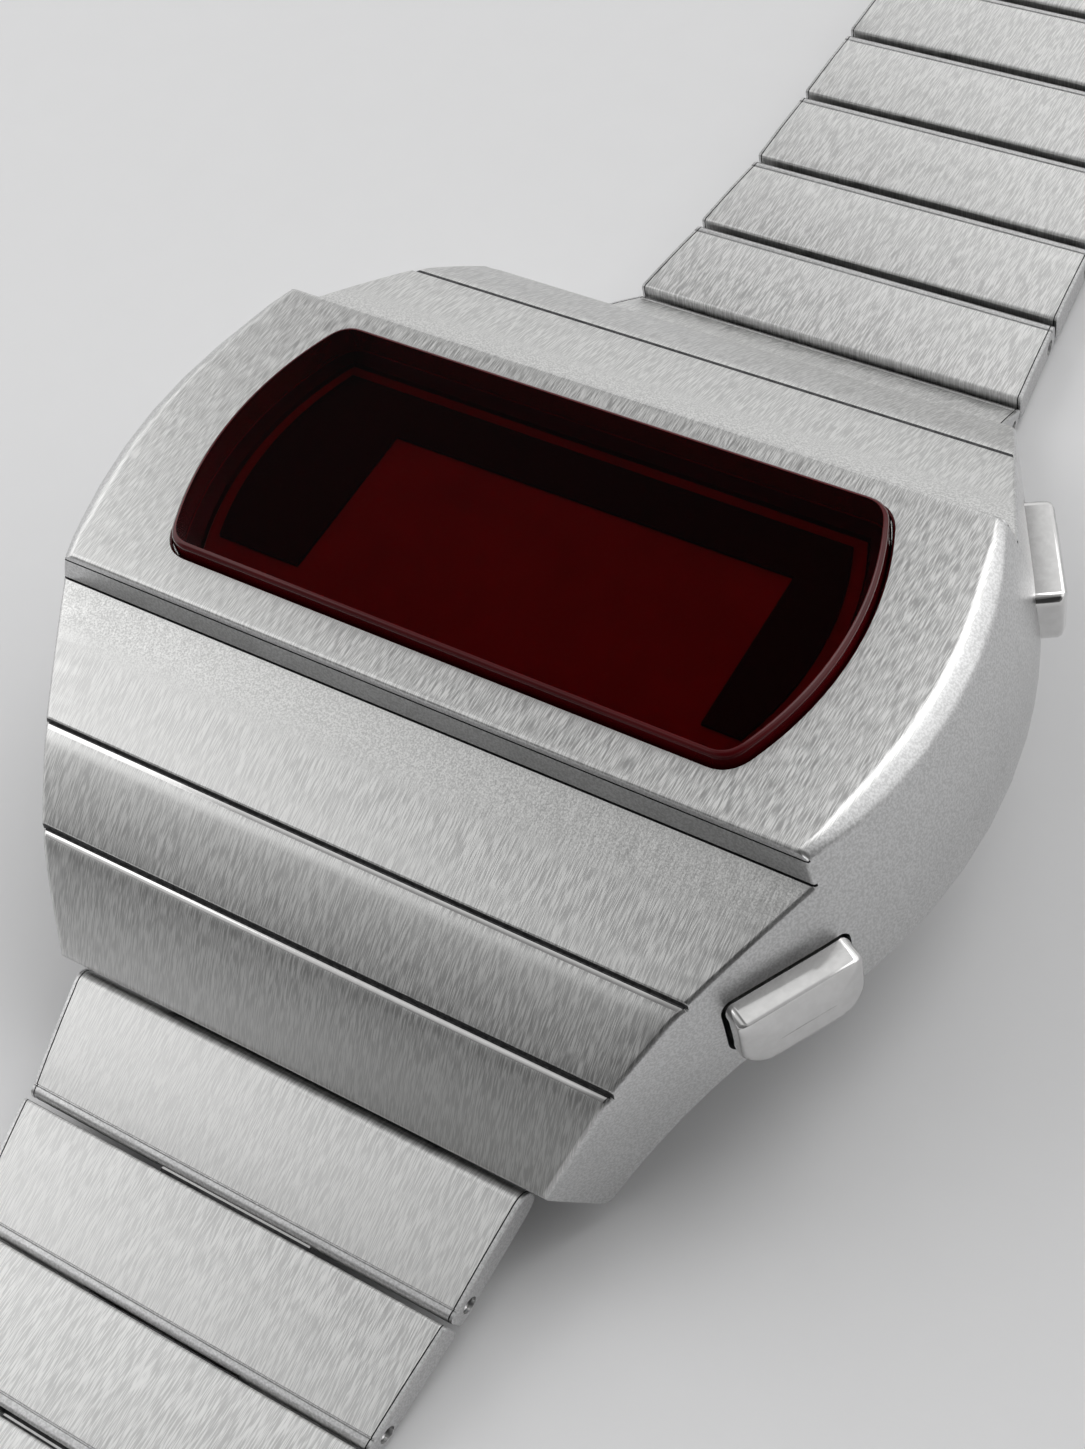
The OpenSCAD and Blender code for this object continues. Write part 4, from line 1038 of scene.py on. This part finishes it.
def linkLook(side, i, frontRound):
    sleeve, start = sleeveMesh(i, frontRound)
    reach = start + link["tongueIn"]
    if i == 1:
        tongue = tongueMesh(lug["gap"] - 2 * link["firstSide"], link["firstBarrelR"],
                            link["firstTongueT"], reach, link["firstGlint"])
    else:
        tongue = tongueMesh(link["tongueW"], link["barrelR"], link["tongueT"], reach, link["glint"])
    pinHalf = jointWidth(i) / 2 - link["pinSink"]
    pin = moved(painted(rod(link["pinR"], -pinHalf, pinHalf, "x", 32), polishedSlot),
                Matrix.Translation((0, linkLength(i), 0)))
    return moved(joined(sleeve, tongue, pin), linkMatrix(side, i))


for side, half, count in ((-1, "near", link["near"]), (1, "far", link["far"])):
    for i in range(1, count + 1):
        name = f"{half}_link_{i}"
        frontRound = link["lastFrontRound"] if i == count else link["frontRound"]
        finishPiece(name + "_look", linkLook(side, i, frontRound), linkSet, name, [name], 38.0)
print("watch: bracelet made")

# Finishes of the CAD nodes that stay
kept = {
    "crystal_gasket": rubberFinish, "display_mask": maskFinish, "display_filter": filterFinish,
    "led_display": displayFinish, "circuit_board": boardFinish, "driver_chip": chipFinish,
    "timing_crystal": canFinish, "trimmer": canFinish, "module_frame": frameFinish,
    "module_screws": canFinish, "battery_left": cellFinish, "battery_right": cellFinish,
    "battery_contacts": contactFinish, "upper_switch_leaf": contactFinish,
    "lower_switch_leaf": contactFinish, "case_back": satin, "case_back_gasket": rubberFinish,
    "case_back_screws": polished, "near_spring_bar": polished, "far_spring_bar": polished,
    "upper_button_clip": canFinish, "upper_button_spring": canFinish, "upper_button_seal": rubberFinish,
    "lower_button_clip": canFinish, "lower_button_spring": canFinish, "lower_button_seal": rubberFinish,
    "hook": satin, "clasp_ladder": satin, "clasp_cover": linkTop, "clasp_pin": polished,
}
for name, material in kept.items():
    mesh = nodes[name].data
    mesh.materials.clear()
    mesh.materials.append(material)

# Floor, light and surroundings, in metres. The surroundings have one level of brightness and pools
# of light or shade that the steel mirrors: each has a direction, the cosines at which it starts and
# is full, and the brightness it adds.
stage = {
    "floorSize": 3.0, "floorZ": -0.00003, "keyPlace": (-0.51, -0.03, 0.31), "keySize": 0.6, "keyPower": 1.15,
    "level": 0.50, "least": 0.04,
    "pools": (
        ((0.21, 0.49, 0.83), 0.945, 0.98, 2.6),
        ((0.65, 0.60, 0.45), 0.76, 0.97, 0.92),
        ((-0.45, 0.65, 0.62), 0.62, 0.93, 0.46),
        ((-0.43, 0.49, 0.76), 0.955, 0.99, -0.82),
        ((0.87, -0.35, 0.35), 0.80, 0.95, -0.36),
        ((0.45, -0.50, 0.74), 0.80, 0.97, -0.34),
        ((0.0, -0.97, 0.25), 0.50, 0.95, -0.34),
        ((-0.30, -0.10, 0.95), 0.94, 0.995, -0.26),
        ((-0.50, -0.40, 0.77), 0.93, 0.99, 0.36),
    ),
}
floorMesh = bmesh.new()
bmesh.ops.create_grid(floorMesh, x_segments=1, y_segments=1, size=stage["floorSize"])
floorFinish = plainFinish("floorCard", {
    "grainSize": 0.0006, "depth": 0.004, "dark": (0.765, 0.765, 0.77, 1),
    "light": (0.785, 0.785, 0.79, 1), "rough": (0.6, 0.7), "specular": 0.2})
floor = meshObject("floor", floorMesh, [floorFinish])
floor.data.transform(Matrix.Translation((0, 0, stage["floorZ"])))

keyData = bpy.data.lights.new("keyLight", "AREA")
keyData.size = stage["keySize"]
keyData.energy = stage["keyPower"]
keyLight = bpy.data.objects.new("keyLight", keyData)
scene.collection.objects.link(keyLight)
keyLight.location = stage["keyPlace"]
keyLight.rotation_euler = (-Vector(stage["keyPlace"])).to_track_quat("-Z", "Y").to_euler()

world = bpy.data.worlds.new("studio")
scene.world = world
world.use_nodes = True
tree = world.node_tree
tree.nodes.clear()
direction = addNode(tree, "ShaderNodeTexCoord").outputs["Generated"]
level = stage["level"]
for towards, begin, full, amount in stage["pools"]:
    cosine = addNode(tree, "ShaderNodeVectorMath", {"operation": "DOT_PRODUCT"}, {
        0: direction, 1: tuple(Vector(towards).normalized())}).outputs["Value"]
    level = mathNode(tree, "ADD", level, mapRange(tree, cosine, begin, full, 0.0, amount))
level = mathNode(tree, "MAXIMUM", level, stage["least"])
background = addNode(tree, "ShaderNodeBackground", None, {"Color": (1.0, 1.0, 1.0, 1), "Strength": level})
addNode(tree, "ShaderNodeOutputWorld", None, {"Surface": background.outputs[0]})

scene.view_settings.view_transform = "Standard"
print("watch: stage set")
